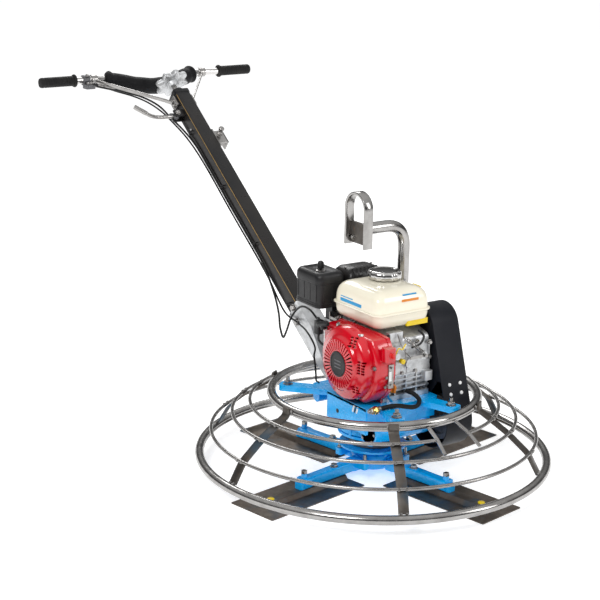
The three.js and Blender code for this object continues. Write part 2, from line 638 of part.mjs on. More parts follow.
// A rotary switch: a round boss in the switch box, with a bar to turn it by.
add('engine_switch', join(
  bar(7.6, [85, 176.4, 384], [85, 187, 384], 16),
  block([82.5, 186, 377], [87.5, 193, 391]),
), redPlastic);

// Oil drain: a fitting and a rubber hose that runs along the deck's front and back to the crankcase.
const DRAIN_ROUTE = [[104, 156, 234], [88, 159, 237], [62, 161, 238], [36, 160, 233.5], [6, 156.5, 224],
  [-16, 154, 219], [-32, 152, 222], [-36, 150, 234], [-24, 141, 250], [-12, 122, 256]];
add('drain_hose', join(
  swept(smooth(DRAIN_ROUTE), 6, 18, 8),
  bar(8, [98, 156.8, 235], [110, 156, 234], 8),
  bar(8, [104.6, 156, 234], [116, 156, 234], 6),
  bar(11, [112, 156, 234], [124, 156, 234], 6),
  bar(7, [122, 156, 234], [134, 156, 234], 8),
), blackRubber);

// ---------------------------------------------------------------- lifting bail
function liftPipe() {
  const { x, y, radius, bend, top } = PIPE;
  const riser = top - bend - DECK.top - GAP;
  const reach = -LOOP.width / 2 + 2 - (x + bend);
  const arc = (Math.PI / 2) * bend;
  class Path extends THREE.Curve {
    getPoint(t, target = new THREE.Vector3()) {
      const s = t * (riser + arc + reach);
      if (s < riser) return target.set(x, y, DECK.top + GAP + s);
      if (s > riser + arc) return target.set(x + bend + s - riser - arc, y, top);
      const angle = (s - riser) / bend;
      return target.set(x + bend * (1 - Math.cos(angle)), y, top - bend * (1 - Math.sin(angle)));
    }
  }
  return swept(new Path(), radius, 22, 10);
}

// Lifting loop: a bent flat strap with a square plate between its legs.
function liftLoop() {
  const { y, halfSpan, strap, width, bottom, top } = LOOP;
  const arch = (inset) => {
    const radius = halfSpan - inset;
    const shape = new THREE.Shape();
    shape.moveTo(y - radius, bottom - (inset ? 5 : 0));
    shape.lineTo(y + radius, bottom - (inset ? 5 : 0));
    shape.absarc(y, top - halfSpan, radius, 0, Math.PI, false);
    shape.closePath();
    return shape;
  };
  const strapSolid = cut(
    prismX(arch(0), -width / 2, width / 2, { curveSegments: 10 }),
    prismX(arch(strap), -width, width, { curveSegments: 10 }),
  );
  const plate = block([-width / 2, y - halfSpan + 2, bottom + 4], [-width / 2 + 9, y + halfSpan - 2, 664]);
  return join(strapSolid, plate);
}
add('lifting_bail', join(liftPipe(), liftLoop()), brightSteel);

// ---------------------------------------------------------------- handle
const tilt = deg(HANDLE.tiltDeg);
const handleFrame = new THREE.Matrix4().makeBasis(
  new THREE.Vector3(1, 0, 0),
  new THREE.Vector3(0, Math.sin(tilt), Math.cos(tilt)),
  new THREE.Vector3(0, -Math.cos(tilt), Math.sin(tilt)),
).setPosition(...HANDLE.foot);
// Handle solids are drawn with x across, y up from the tube's top face and z along the tube from its foot.
const onHandle = (solid) => placed(solid, handleFrame);
const tubeHalf = HANDLE.size / 2;

function squareTube(half, wall, length) {
  const outside = prismZ(rectangle(-half, -half, half, half, 5), 0, length, { curveSegments: 2 });
  const bore = half - wall;
  const inside = prismZ(rectangle(-bore, -bore, bore, bore, 3), -5, length + 5, { curveSegments: 2 });
  return cut(outside, inside);
}

// The tube carries the spindle's bearing block at its head and the hand lever's pivot ears on its right side.
function handleTube() {
  const bearing = join(
    prismZ(rectangle(-27, -27, 27, 27, 6), HANDLE.length - 1, HANDLE.length + 24, { curveSegments: 2 }),
    block([-23, -23, HANDLE.length - 12], [23, 23, HANDLE.length + 2]),
  );
  const spindleBore = bar(9.5, [0, 0, HANDLE.length - 60], [0, 0, HANDLE.length + 60]);
  const ear = (y0, y1) => block([tubeHalf - 1, y0, 852], [tubeHalf + 34, y1, 874]);
  const ears = [ear(-14, -9), ear(9, 14)];
  return join(squareTube(tubeHalf, HANDLE.wall, HANDLE.length), cut(bearing, spindleBore), ...ears);
}
add('handle_tube', onHandle(handleTube()), blackPaint);

function handleSocket() {
  const outline = rounded([[-120.3, 176], [-120.3, 221.5], [-190, 240], [-262, 338], [-340, 396], [-375, 342],
    [-311, 294], [-254, 252], [-206, 222], [-160, 190]], 6);
  const body = prismX(outline, -30, 30, { curveSegments: 2 });
  const half = tubeHalf + GAP;
  return cut(body, onHandle(block([-half, -half, -GAP], [half, half, 300])));
}
add('handle_socket', handleSocket(), castIron);

// Crossbar: straight ends and a shallow dip towards the tube, two struts to the tube's head, throttle clamp.
function barCurve(halfWidth) {
  const half = [[halfWidth, BAR.y, BAR.z], [230, BAR.y, BAR.z], [178, BAR.y, BAR.z + 1],
    [130, BAR.y + 14, BAR.z - 7], [66, BAR.dipY - 10, BAR.dipZ + 6]];
  const mirrored = half.map(([x, y, z]) => [-x, y, z]).reverse();
  return smooth([...half, [0, BAR.dipY, BAR.dipZ], ...mirrored]);
}

function handlebar() {
  const struts = [-1, 1].flatMap((side) => [
    bar(7, [side * 198, BAR.y, BAR.z - 2], [side * 36, -1040, 866], 8),
    onHandle(block(
      [side > 0 ? tubeHalf + GAP : -tubeHalf - 20, -16, 896],
      [side > 0 ? tubeHalf + 20 : -tubeHalf - GAP, 16, 934],
    )),
  ]);
  const clamp = join(
    bar(BAR.gripR, [212, BAR.y, BAR.z], [234, BAR.y, BAR.z], 12),
    block([208, BAR.y + 8, BAR.z - 24], [238, BAR.y + 40, BAR.z - 10]),
  );
  return join(swept(barCurve(BAR.halfWidth - 8), BAR.radius, 32, 8), ...struts, clamp);
}
add('handlebar', handlebar(), brightSteel);

function gripSleeve(side) {
  const { halfWidth, gripLength, gripR, radius, y, z } = BAR;
  const inner = halfWidth - gripLength;
  const body = join(
    bar(gripR, [side * inner, y, z], [side * halfWidth, y, z], 16),
    bar(gripR - 0.5, [side * halfWidth - side * 12, y, z], [side * halfWidth, y, z], 16),
  );
  return cut(body, bar(radius + 0.6, [side * (inner - 2), y, z], [side * (halfWidth - 7), y, z], 16));
}
add('grip_right', gripSleeve(1), blackRubber);
add('grip_left', gripSleeve(-1), blackRubber);

// The pad is a thick sleeve around the dipped middle of the crossbar.
function barPad() {
  const whole = barCurve(BAR.halfWidth - 8);
  const span = whole.getSpacedPoints(80).filter((p) => Math.abs(p.x) < PAD.halfWidth);
  const curve = new THREE.CatmullRomCurve3(span, false, 'centripetal');
  return swept(curve, PAD.radius, 14, 10, BAR.radius + 1.6);
}
add('bar_pad', barPad(), padFoam);

// Star wheel on the tube's upper end, with its threaded spindle inside the tube.
function starWheel() {
  const { beyondTube, radius, thick, lobes } = STAR_WHEEL;
  const z0 = HANDLE.length + beyondTube - thick / 2;
  const points = [];
  const steps = lobes * 8;
  for (let i = 0; i < steps; i += 1) {
    const angle = (2 * Math.PI * i) / steps;
    const r = radius - 7 + 7 * Math.cos(lobes * angle);
    points.push([r * Math.cos(angle), r * Math.sin(angle)]);
  }
  const wheel = prismZ(polygon(points), z0, z0 + thick);
  const hub = bar(17, [0, 0, z0 - 12], [0, 0, z0 + thick + 6], 16);
  const spindle = bar(8, [0, 0, HANDLE.length - 110], [0, 0, z0], 10);
  return join(wheel, hub, spindle);
}
add('star_wheel', onHandle(starWheel()), castAluminium);

// Hand lever between the ears.
const LEVER_ROUTE = [[tubeHalf + 22, 0, 863], [80, 0, 862], [118, 2, 863], [136, 3, 870], [150, 4, 884],
  [176, 6, 910]];
add('hand_lever', onHandle(join(
  swept(smooth(LEVER_ROUTE), 6, 14, 6),
  bar(8, [tubeHalf + 22, -8.6, 863], [tubeHalf + 22, 8.6, 863], 10),
)), brightSteel);

// Galvanised bracket with a clamp screw on the tube's left side.
function sideBracket() {
  const screwX = -tubeHalf - 19;
  return join(
    block([-tubeHalf - 5, -20, 705], [-tubeHalf - GAP, 24, 775]),
    block([-tubeHalf - 35, 19, 715], [-tubeHalf - 2, 24, 765]),
    block([-tubeHalf - 35, -10, 715], [-tubeHalf - 30, 24, 755]),
    bar(8, [screwX, 23, 753], [screwX, 33, 753], 6),
    bar(4, [screwX, 30, 753], [screwX, 44, 753], 8),
    bar(8, [screwX, 40, 753], [screwX, 48, 753], 8),
  );
}
add('side_bracket', onHandle(sideBracket()), castAluminium);

// Throttle lever under its clamp, beside the right grip.
add('throttle_lever', join(
  bar(9, [223, BAR.y + 26, BAR.z - 9.6], [223, BAR.y + 26, BAR.z - 3], 12),
  block([218, BAR.y + 24, BAR.z - 8], [228, BAR.y + 78, BAR.z - 4]),
), brightSteel);

// Throttle cable: from the clamp to the tube, down its right side, out in a loop and to the carburettor.
const CABLE_X = tubeHalf + 5;
const THROTTLE_ROUTE = [[204, -1231, 902], [165, -1205, 893], [125, -1170, 884], [90, -1120, 872], [62, -1072, 850],
  [44, -1030, 818], [CABLE_X + 4, -965, 786], [CABLE_X, -893, 746], [CABLE_X, -693, 598], [CABLE_X, -513, 464],
  [CABLE_X + 6, -440, 386], [40, -412, 340], [40, -404, 300], [40, -388, 276], [42, -368, 300], [44, -340, 350],
  [46, -290, 392], [50, -240, 396], [52, -200, 380], [50, -164, 366]];
add('throttle_cable', swept(smooth(THROTTLE_ROUTE), 3, 48, 6), blackRubber);
export default machine;
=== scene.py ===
"""Looks of the walk-behind power trowel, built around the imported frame.

Shapes are drawn in millimetres about the rotor's axis, with +X to the operator's right, +Y forward and
+Z up from the floor. Shells.piece() turns them into the frame's metres.
"""

import json
import math

import bmesh
import bpy
from mathutils import Matrix, Vector


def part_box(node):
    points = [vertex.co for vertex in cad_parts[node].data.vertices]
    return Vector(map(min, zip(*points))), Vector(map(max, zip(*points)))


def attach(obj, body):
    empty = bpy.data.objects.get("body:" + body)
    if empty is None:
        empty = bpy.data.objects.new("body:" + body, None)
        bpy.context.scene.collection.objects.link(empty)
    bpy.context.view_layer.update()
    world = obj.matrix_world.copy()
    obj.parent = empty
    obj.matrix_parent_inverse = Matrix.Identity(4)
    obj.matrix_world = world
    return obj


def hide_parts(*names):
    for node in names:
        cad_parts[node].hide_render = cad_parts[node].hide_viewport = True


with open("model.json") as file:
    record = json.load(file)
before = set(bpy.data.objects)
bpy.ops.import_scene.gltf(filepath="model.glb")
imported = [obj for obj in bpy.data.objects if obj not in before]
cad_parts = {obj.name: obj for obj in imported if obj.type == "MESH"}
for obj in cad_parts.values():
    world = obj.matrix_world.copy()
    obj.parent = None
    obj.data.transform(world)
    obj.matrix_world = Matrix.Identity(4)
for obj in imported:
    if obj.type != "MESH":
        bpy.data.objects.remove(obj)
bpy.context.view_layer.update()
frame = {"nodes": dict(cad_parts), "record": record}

MM = 0.001
ring_low, ring_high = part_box("lower_ring")
ROTOR_Y = (ring_low.y + ring_high.y) / 2
TO_FRAME = Matrix.Translation((0, ROTOR_Y, 0)) @ Matrix.Scale(MM, 4)
FROM_FRAME = TO_FRAME.inverted()
# a frame whose local x, y and z run along Y, Z and X
ALONG_X = Matrix(((0, 0, 1, 0), (1, 0, 0, 0), (0, 1, 0, 0), (0, 0, 0, 1)))

X, Y, Z = Vector((1, 0, 0)), Vector((0, 1, 0)), Vector((0, 0, 1))

# shared places, in millimetres about the rotor's axis
CRANK = Vector((0, 46, 336))
WORM = Vector((0, 100, 152))
DECK_TOP = 230

SHARP_DEG = 38  # an edge bent more than this stays sharp


def span(node):
    """Lowest and highest corner of a CAD node, in millimetres about the rotor's axis."""
    low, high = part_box(node)
    return FROM_FRAME @ low, FROM_FRAME @ high


def at(place, x, y, z):
    """A point given in a frame's own axes."""
    return place @ Vector((x, y, z))


def add_object(name, data):
    made = bpy.data.objects.new(name, data)
    bpy.context.scene.collection.objects.link(made)
    return made


def ease_edges(made, width_mm, sharp_deg):
    bevel = made.modifiers.new("edges", "BEVEL")
    bevel.width = width_mm * MM
    bevel.segments = 2
    bevel.limit_method = "ANGLE"
    bevel.angle_limit = math.radians(sharp_deg)
    return bevel


# ------------------------------------------------------------------ camera, floor and light
CAMERA = {"place": (2405.4, 3194.4, 1597.0), "lens": 93.9, "sensor": 36, "far": 200}
CAMERA_RIGHT = Vector((-0.8309, 0.5563, 0.0159))
CAMERA_UP = Vector((-0.1382, -0.2339, 0.9624))


def make_camera():
    data = bpy.data.cameras.new("camera")
    data.lens = CAMERA["lens"]
    data.sensor_width = CAMERA["sensor"]
    data.clip_end = CAMERA["far"]
    camera = add_object("camera", data)
    back = CAMERA_RIGHT.cross(CAMERA_UP).normalized()
    up = back.cross(CAMERA_RIGHT).normalized()
    turn = Matrix((CAMERA_RIGHT.normalized(), up, back)).transposed().to_4x4()
    camera.matrix_world = Matrix.Translation(TO_FRAME @ Vector(CAMERA["place"])) @ turn
    bpy.context.scene.camera = camera


def area_light(name, place, target, size, power):
    data = bpy.data.lights.new(name, "AREA")
    data.shape = "RECTANGLE"
    data.size, data.size_y = size
    data.energy = power
    light = add_object(name, data)
    light.location = place
    light.rotation_euler = (Vector(target) - Vector(place)).to_track_quat("-Z", "Y").to_euler()


FLOOR_SIZE = 90
# the sky's brightness by height, from straight down (0) to straight up (1)
SKY_STOPS = [(0.0, 0.7), (0.05, 0.20), (0.2, 0.07), (0.34, 0.16), (0.5, 0.55), (1.0, 0.90)]


def make_studio():
    area_light("key", (3.2, 2.2, 3.6), (0, 0.2, 0.3), (1.6, 1.6), 95)
    area_light("fill", (-2.6, 3.8, 2.4), (0, 0.2, 0.3), (1.0, 2.4), 48)
    area_light("back", (-1.2, -3.2, 3.2), (0, 0.0, 0.4), (2.6, 0.8), 50)

    world = bpy.data.worlds.new("studio")
    bpy.context.scene.world = world
    world.use_nodes = True
    tree = world.node_tree
    background = tree.nodes["Background"]
    coords = tree.nodes.new("ShaderNodeTexCoord")
    split = tree.nodes.new("ShaderNodeSeparateXYZ")
    ramp = tree.nodes.new("ShaderNodeValToRGB")
    tree.links.new(coords.outputs["Generated"], split.inputs[0])
    tree.links.new(split.outputs["Z"], ramp.inputs["Fac"])
    ramp.color_ramp.elements[0].position = SKY_STOPS[0][0]
    ramp.color_ramp.elements[1].position = SKY_STOPS[-1][0]
    for position, _ in SKY_STOPS[1:-1]:
        ramp.color_ramp.elements.new(position)
    for element, (_, value) in zip(ramp.color_ramp.elements, SKY_STOPS):
        element.color = (value, value, value, 1)
    tree.links.new(ramp.outputs["Color"], background.inputs["Color"])

    bpy.ops.mesh.primitive_plane_add(size=FLOOR_SIZE, location=(0, 0, 0))
    floor = bpy.context.object
    floor.name = "floor"
    paint = bpy.data.materials.new("pale_floor")
    paint.use_nodes = True
    shader = paint.node_tree.nodes["Principled BSDF"]
    shader.inputs["Base Color"].default_value = (0.93, 0.93, 0.93, 1)
    shader.inputs["Roughness"].default_value = 0.9
    shader.inputs["Specular IOR Level"].default_value = 0.1
    shader.inputs["Emission Color"].default_value = (1, 1, 1, 1)
    shader.inputs["Emission Strength"].default_value = 0.45
    floor.data.materials.append(paint)
    bpy.context.scene.view_settings.view_transform = "Standard"


make_camera()
make_studio()


# ------------------------------------------------------------------ procedural finishes
class Look:
    """A finish: one Principled shader, and the textures in object space that drive it."""

    def __init__(self, name, base, metallic=0.0, roughness=0.5, coat=0.0, sheen=0.0, specular=0.5):
        self.material = bpy.data.materials.new(name)
        self.material.use_nodes = True
        self.tree = self.material.node_tree
        self.shader = self.tree.nodes["Principled BSDF"]
        self.base = base
        self.shader.inputs["Base Color"].default_value = (*base, 1)
        self.shader.inputs["Metallic"].default_value = metallic
        self.shader.inputs["Roughness"].default_value = roughness
        self.shader.inputs["Coat Weight"].default_value = coat
        self.shader.inputs["Coat Roughness"].default_value = 0.08
        self.shader.inputs["Sheen Weight"].default_value = sheen
        self.shader.inputs["Specular IOR Level"].default_value = specular
        self.coords = self.tree.nodes.new("ShaderNodeTexCoord").outputs["Object"]
        self.colour = None
        self.height = None

    def node(self, kind, **inputs):
        made = self.tree.nodes.new("ShaderNode" + kind)
        for key, value in inputs.items():
            made.inputs[key.replace("_", " ")].default_value = value
        return made

    def link(self, source, target):
        self.tree.links.new(source, target)

    def noise(self, scale, detail=3, rough=0.6, stretch=(1, 1, 1)):
        """A cloudy texture of so many features to the metre."""
        mapping = self.node("Mapping", Scale=stretch)
        noise = self.node("TexNoise", Scale=scale, Detail=detail, Roughness=rough)
        self.link(self.coords, mapping.inputs["Vector"])
        self.link(mapping.outputs["Vector"], noise.inputs["Vector"])
        return noise.outputs["Fac"]

    def cells(self, scale):
        cells = self.node("TexVoronoi", Scale=scale)
        self.link(self.coords, cells.inputs["Vector"])
        return cells.outputs["Distance"]

    def between(self, value, low, high, to_low=0.0, to_high=1.0):
        """The value's place from low to high, as a number from to_low to to_high."""
        node = self.node("MapRange", From_Min=low, From_Max=high, To_Min=to_low, To_Max=to_high)
        self.link(value, node.inputs["Value"])
        return node.outputs["Result"]

    def tint(self, factor, colour):
        """Mixes a colour in, as much as the factor says."""
        mix = self.tree.nodes.new("ShaderNodeMix")
        mix.data_type = "RGBA"
        self.link(factor, mix.inputs["Factor"])
        if self.colour is None:
            mix.inputs["A"].default_value = (*self.base, 1)
        else:
            self.link(self.colour, mix.inputs["A"])
        mix.inputs["B"].default_value = (*colour, 1)
        self.colour = mix.outputs["Result"]
        self.link(self.colour, self.shader.inputs["Base Color"])
        return self

    def gloss(self, factor, low, high):
        """Roughness from low to high as the factor goes from 0.3 to 0.7."""
        self.link(self.between(factor, 0.3, 0.7, low, high), self.shader.inputs["Roughness"])
        return self

    def bump(self, height, strength, depth_mm):
        node = self.node("Bump", Strength=strength, Distance=depth_mm * MM)
        self.link(height, node.inputs["Height"])
        if self.height is not None:
            self.link(self.height, node.inputs["Normal"])
        self.height = node.outputs["Normal"]
        self.link(self.height, self.shader.inputs["Normal"])
        return self


def plated_steel(name, base, dull, low, high):
    """Bright bare or plated steel: cloudy gloss, fine scratches and a few dull brown stains."""
    look = Look(name, base, metallic=1.0)
    look.tint(look.between(look.noise(26, 5), 0.42, 0.7), dull)
    look.tint(look.between(look.noise(60, 6, 0.7), 0.66, 0.78), (0.20, 0.13, 0.08))
    look.gloss(look.noise(45, 5), low, high)
    look.bump(look.noise(900, 2, 0.5, (1, 1, 0.15)), 0.08, 0.4)
    return look


def rolled_steel(name, base, light):
    """Hot-rolled steel: brown-black scale, bluish patches, rust freckles and long rubbed scratches."""
    look = Look(name, base, metallic=0.85)
    look.tint(look.between(look.noise(14, 4), 0.4, 0.65), light)
    look.tint(look.between(look.noise(9, 3), 0.55, 0.7), (0.07, 0.10, 0.13))
    look.tint(look.between(look.noise(85, 6, 0.75), 0.6, 0.72), (0.20, 0.10, 0.045))
    look.gloss(look.noise(40, 5), 0.28, 0.55)
    look.bump(look.noise(420, 4, 0.6, (1, 0.2, 1)), 0.14, 0.4)
    return look


def enamel(name, base, shade, low=0.18, high=0.34, coat=0.6, specular=0.5):
    """Sprayed enamel: orange peel, a slight drift of shade, dust and a few small chips."""
    look = Look(name, base, roughness=0.25, coat=coat, specular=specular)
    look.tint(look.between(look.noise(7, 3), 0.35, 0.7), shade)
    look.tint(look.between(look.noise(220, 5, 0.8), 0.74, 0.77), tuple(0.35 * c + 0.05 for c in base))
    look.gloss(look.noise(30, 4), low, high)
    look.bump(look.noise(520, 2, 0.5), 0.05, 0.3)
    return look


def casting(name, base, shade, metallic, low, high):
    """As-cast metal: a sandy grain, darker in cloudy patches."""
    look = Look(name, base, metallic=metallic)
    look.tint(look.between(look.noise(32, 6, 0.7), 0.45, 0.72), shade)
    look.gloss(look.noise(60, 5), low, high)
    look.bump(look.noise(700, 3, 0.7), 0.28, 0.5)
    return look


def moulding(name, base, shade, low, high, grain=1100, coat=0.0, specular=0.25):
    """Moulded plastic or rubber with a fine grain and a dusty bloom."""
    look = Look(name, base, coat=coat, specular=specular)
    look.tint(look.between(look.noise(18, 5), 0.45, 0.75), shade)
    look.gloss(look.noise(40, 4), low, high)
    look.bump(look.noise(grain, 2, 0.6), 0.16, 0.25)
    return look


def woven(name, base, shade):
    """Close black cover cloth with a fine weave and soft sheen."""
    look = Look(name, base, sheen=0.08, roughness=0.8, specular=0.15)
    look.tint(look.between(look.noise(24, 5), 0.4, 0.7), shade)
    look.gloss(look.noise(50, 3), 0.55, 0.8)
    look.bump(look.cells(900), 0.35, 0.5)
    look.bump(look.noise(60, 4), 0.25, 1.5)
    return look


LOOKS = {
    "bright": plated_steel("bright_steel", (0.39, 0.38, 0.37), (0.29, 0.28, 0.27), 0.12, 0.26),
    "rod": plated_steel("rod_steel", (0.34, 0.33, 0.32), (0.25, 0.24, 0.23), 0.16, 0.32),
    "zinc": plated_steel("zinc_plate", (0.37, 0.36, 0.35), (0.27, 0.26, 0.25), 0.20, 0.36),
    "chrome": plated_steel("chrome_plate", (0.62, 0.61, 0.60), (0.50, 0.49, 0.48), 0.05, 0.14),
    "blade": rolled_steel("blade_steel", (0.105, 0.086, 0.070), (0.18, 0.153, 0.127)),
    "strap": rolled_steel("strap_steel", (0.085, 0.075, 0.066), (0.15, 0.138, 0.125)),
    "blue": enamel("blue_enamel", (0.0, 0.46, 1.0), (0.0, 0.36, 0.86), coat=0.4),
    "red": enamel("red_enamel", (0.66, 0.0, 0.012), (0.50, 0.0, 0.010), 0.10, 0.22, 0.6),
    "cream": enamel("cream_enamel", (0.91, 0.86, 0.71), (0.87, 0.81, 0.64), 0.12, 0.22, 0.5),
    "black": enamel("black_enamel", (0.008, 0.008, 0.009), (0.020, 0.017, 0.015), 0.24, 0.40, 0.0, 0.3),
    "guard": enamel("belt_guard_enamel", (0.008, 0.009, 0.013), (0.014, 0.015, 0.019), 0.38, 0.52, 0.0, 0.16),
    "alloy": casting("cast_alloy", (0.62, 0.63, 0.64), (0.36, 0.36, 0.36), 0.75, 0.30, 0.50),
    "iron": casting("cast_iron", (0.18, 0.18, 0.19), (0.08, 0.08, 0.08), 0.75, 0.42, 0.65),
    "bronze": casting("bronze", (0.55, 0.36, 0.14), (0.40, 0.25, 0.10), 0.95, 0.25, 0.45),
    "brass": plated_steel("brass_fitting", (0.72, 0.46, 0.14), (0.55, 0.34, 0.09), 0.14, 0.3),
    "plastic": moulding("black_plastic", (0.010, 0.010, 0.011), (0.020, 0.019, 0.019), 0.32, 0.5,
                        specular=0.35),
    "rubber": moulding("black_rubber", (0.008, 0.008, 0.008), (0.016, 0.015, 0.014), 0.5, 0.75, 700),
    "cable": moulding("cable_jacket", (0.006, 0.006, 0.006), (0.012, 0.012, 0.012), 0.3, 0.45, 900),
    "pad": woven("pad_cover", (0.006, 0.006, 0.007), (0.012, 0.012, 0.013)),
    "yellow": moulding("yellow_plastic", (0.85, 0.62, 0.01), (0.72, 0.48, 0.01), 0.25, 0.4, 600, 0.4),
    "orange": moulding("orange_plastic", (0.78, 0.25, 0.02), (0.66, 0.20, 0.02), 0.25, 0.4, 600, 0.4),
    "signal_red": moulding("red_plastic", (0.70, 0.02, 0.02), (0.5, 0.01, 0.01), 0.25, 0.4, 600, 0.4),
    "white": moulding("white_label", (0.85, 0.85, 0.84), (0.74, 0.74, 0.73), 0.3, 0.45, 600, 0.2),
    "sky": moulding("blue_label", (0.01, 0.33, 0.66), (0.01, 0.27, 0.58), 0.3, 0.45, 600, 0.2),
}


# ------------------------------------------------------------------ shells of closed geometry
def basis(origin, along, hint=X):
    """A frame at origin whose local z runs along a direction."""
    z = Vector(along).normalized()
    x = Vector(hint) if abs(Vector(hint).normalized().dot(z)) < 0.99 else Y
    y = z.cross(x).normalized()
    matrix = Matrix((y.cross(z), y, z)).transposed().to_4x4()
    matrix.translation = Vector(origin)
    return matrix


def circle(radius, sides, z=0.0):
    return [
        Vector((radius * math.cos(a), radius * math.sin(a), z))
        for a in (2 * math.pi * i / sides for i in range(sides))
    ]


def rounded(corners, radius, steps=5):
    """A 2-D outline with its corners rounded by arcs of a radius, or of one radius each."""
    radii = radius if isinstance(radius, (list, tuple)) else [radius] * len(corners)
    outline = []
    for i, corner in enumerate(corners):
        here = Vector(corner)
        before = (Vector(corners[i - 1]) - here).normalized()
        after = (Vector(corners[(i + 1) % len(corners)]) - here).normalized()
        half = before.angle(after) / 2
        if radii[i] <= 0 or half > 1.55:
            outline.append(here)
            continue
        centre = here + (before + after).normalized() * (radii[i] / math.sin(half))
        start = here + before * (radii[i] / math.tan(half)) - centre
        end = here + after * (radii[i] / math.tan(half)) - centre
        turn = math.atan2(start.x * end.y - start.y * end.x, start.dot(end))
        for k in range(steps + 1):
            a = turn * k / steps
            outline.append(centre + Vector((
                start.x * math.cos(a) - start.y * math.sin(a),
                start.x * math.sin(a) + start.y * math.cos(a),
            )))
    return outline


def rectangle(x0, y0, x1, y1, radius=0.0, steps=5):
    return rounded([(x0, y0), (x1, y0), (x1, y1), (x0, y1)], radius, steps)


def smooth(points, steps):
    """A centripetal Catmull-Rom curve through the points, with so many steps to each span."""
    p = [Vector(v) for v in points]
    p = [2 * p[0] - p[1], *p, 2 * p[-1] - p[-2]]
    curve = []
    for i in range(len(p) - 3):
        four = p[i:i + 4]
        knots = [0.0]
        for a, b in zip(four, four[1:]):
            knots.append(knots[-1] + max((b - a).length, 1e-6) ** 0.5)
        for k in range(steps):
            t = knots[1] + (knots[2] - knots[1]) * k / steps

            def between(a, b, j, reach):
                return a.lerp(b, (t - knots[j]) / (knots[j + reach] - knots[j]))

            first = [between(four[j], four[j + 1], j, 1) for j in range(3)]
            second = [between(first[j], first[j + 1], j, 2) for j in range(2)]
            curve.append(between(second[0], second[1], 1, 1))
    return [*curve, p[-2]]


def filleted(points, radius, steps=6):
    """A polyline in space with its inner corners rounded."""
    p = [Vector(v) for v in points]
    path = [p[0]]
    for a, b, c in zip(p, p[1:], p[2:]):
        reach = min(radius, (b - a).length * 0.45, (c - b).length * 0.45)
        start = b + (a - b).normalized() * reach
        end = b + (c - b).normalized() * reach
        for k in range(steps + 1):
            t = k / steps
            path.append(start.lerp(b, t).lerp(b.lerp(end, t), t))
    return [*path, p[-1]]


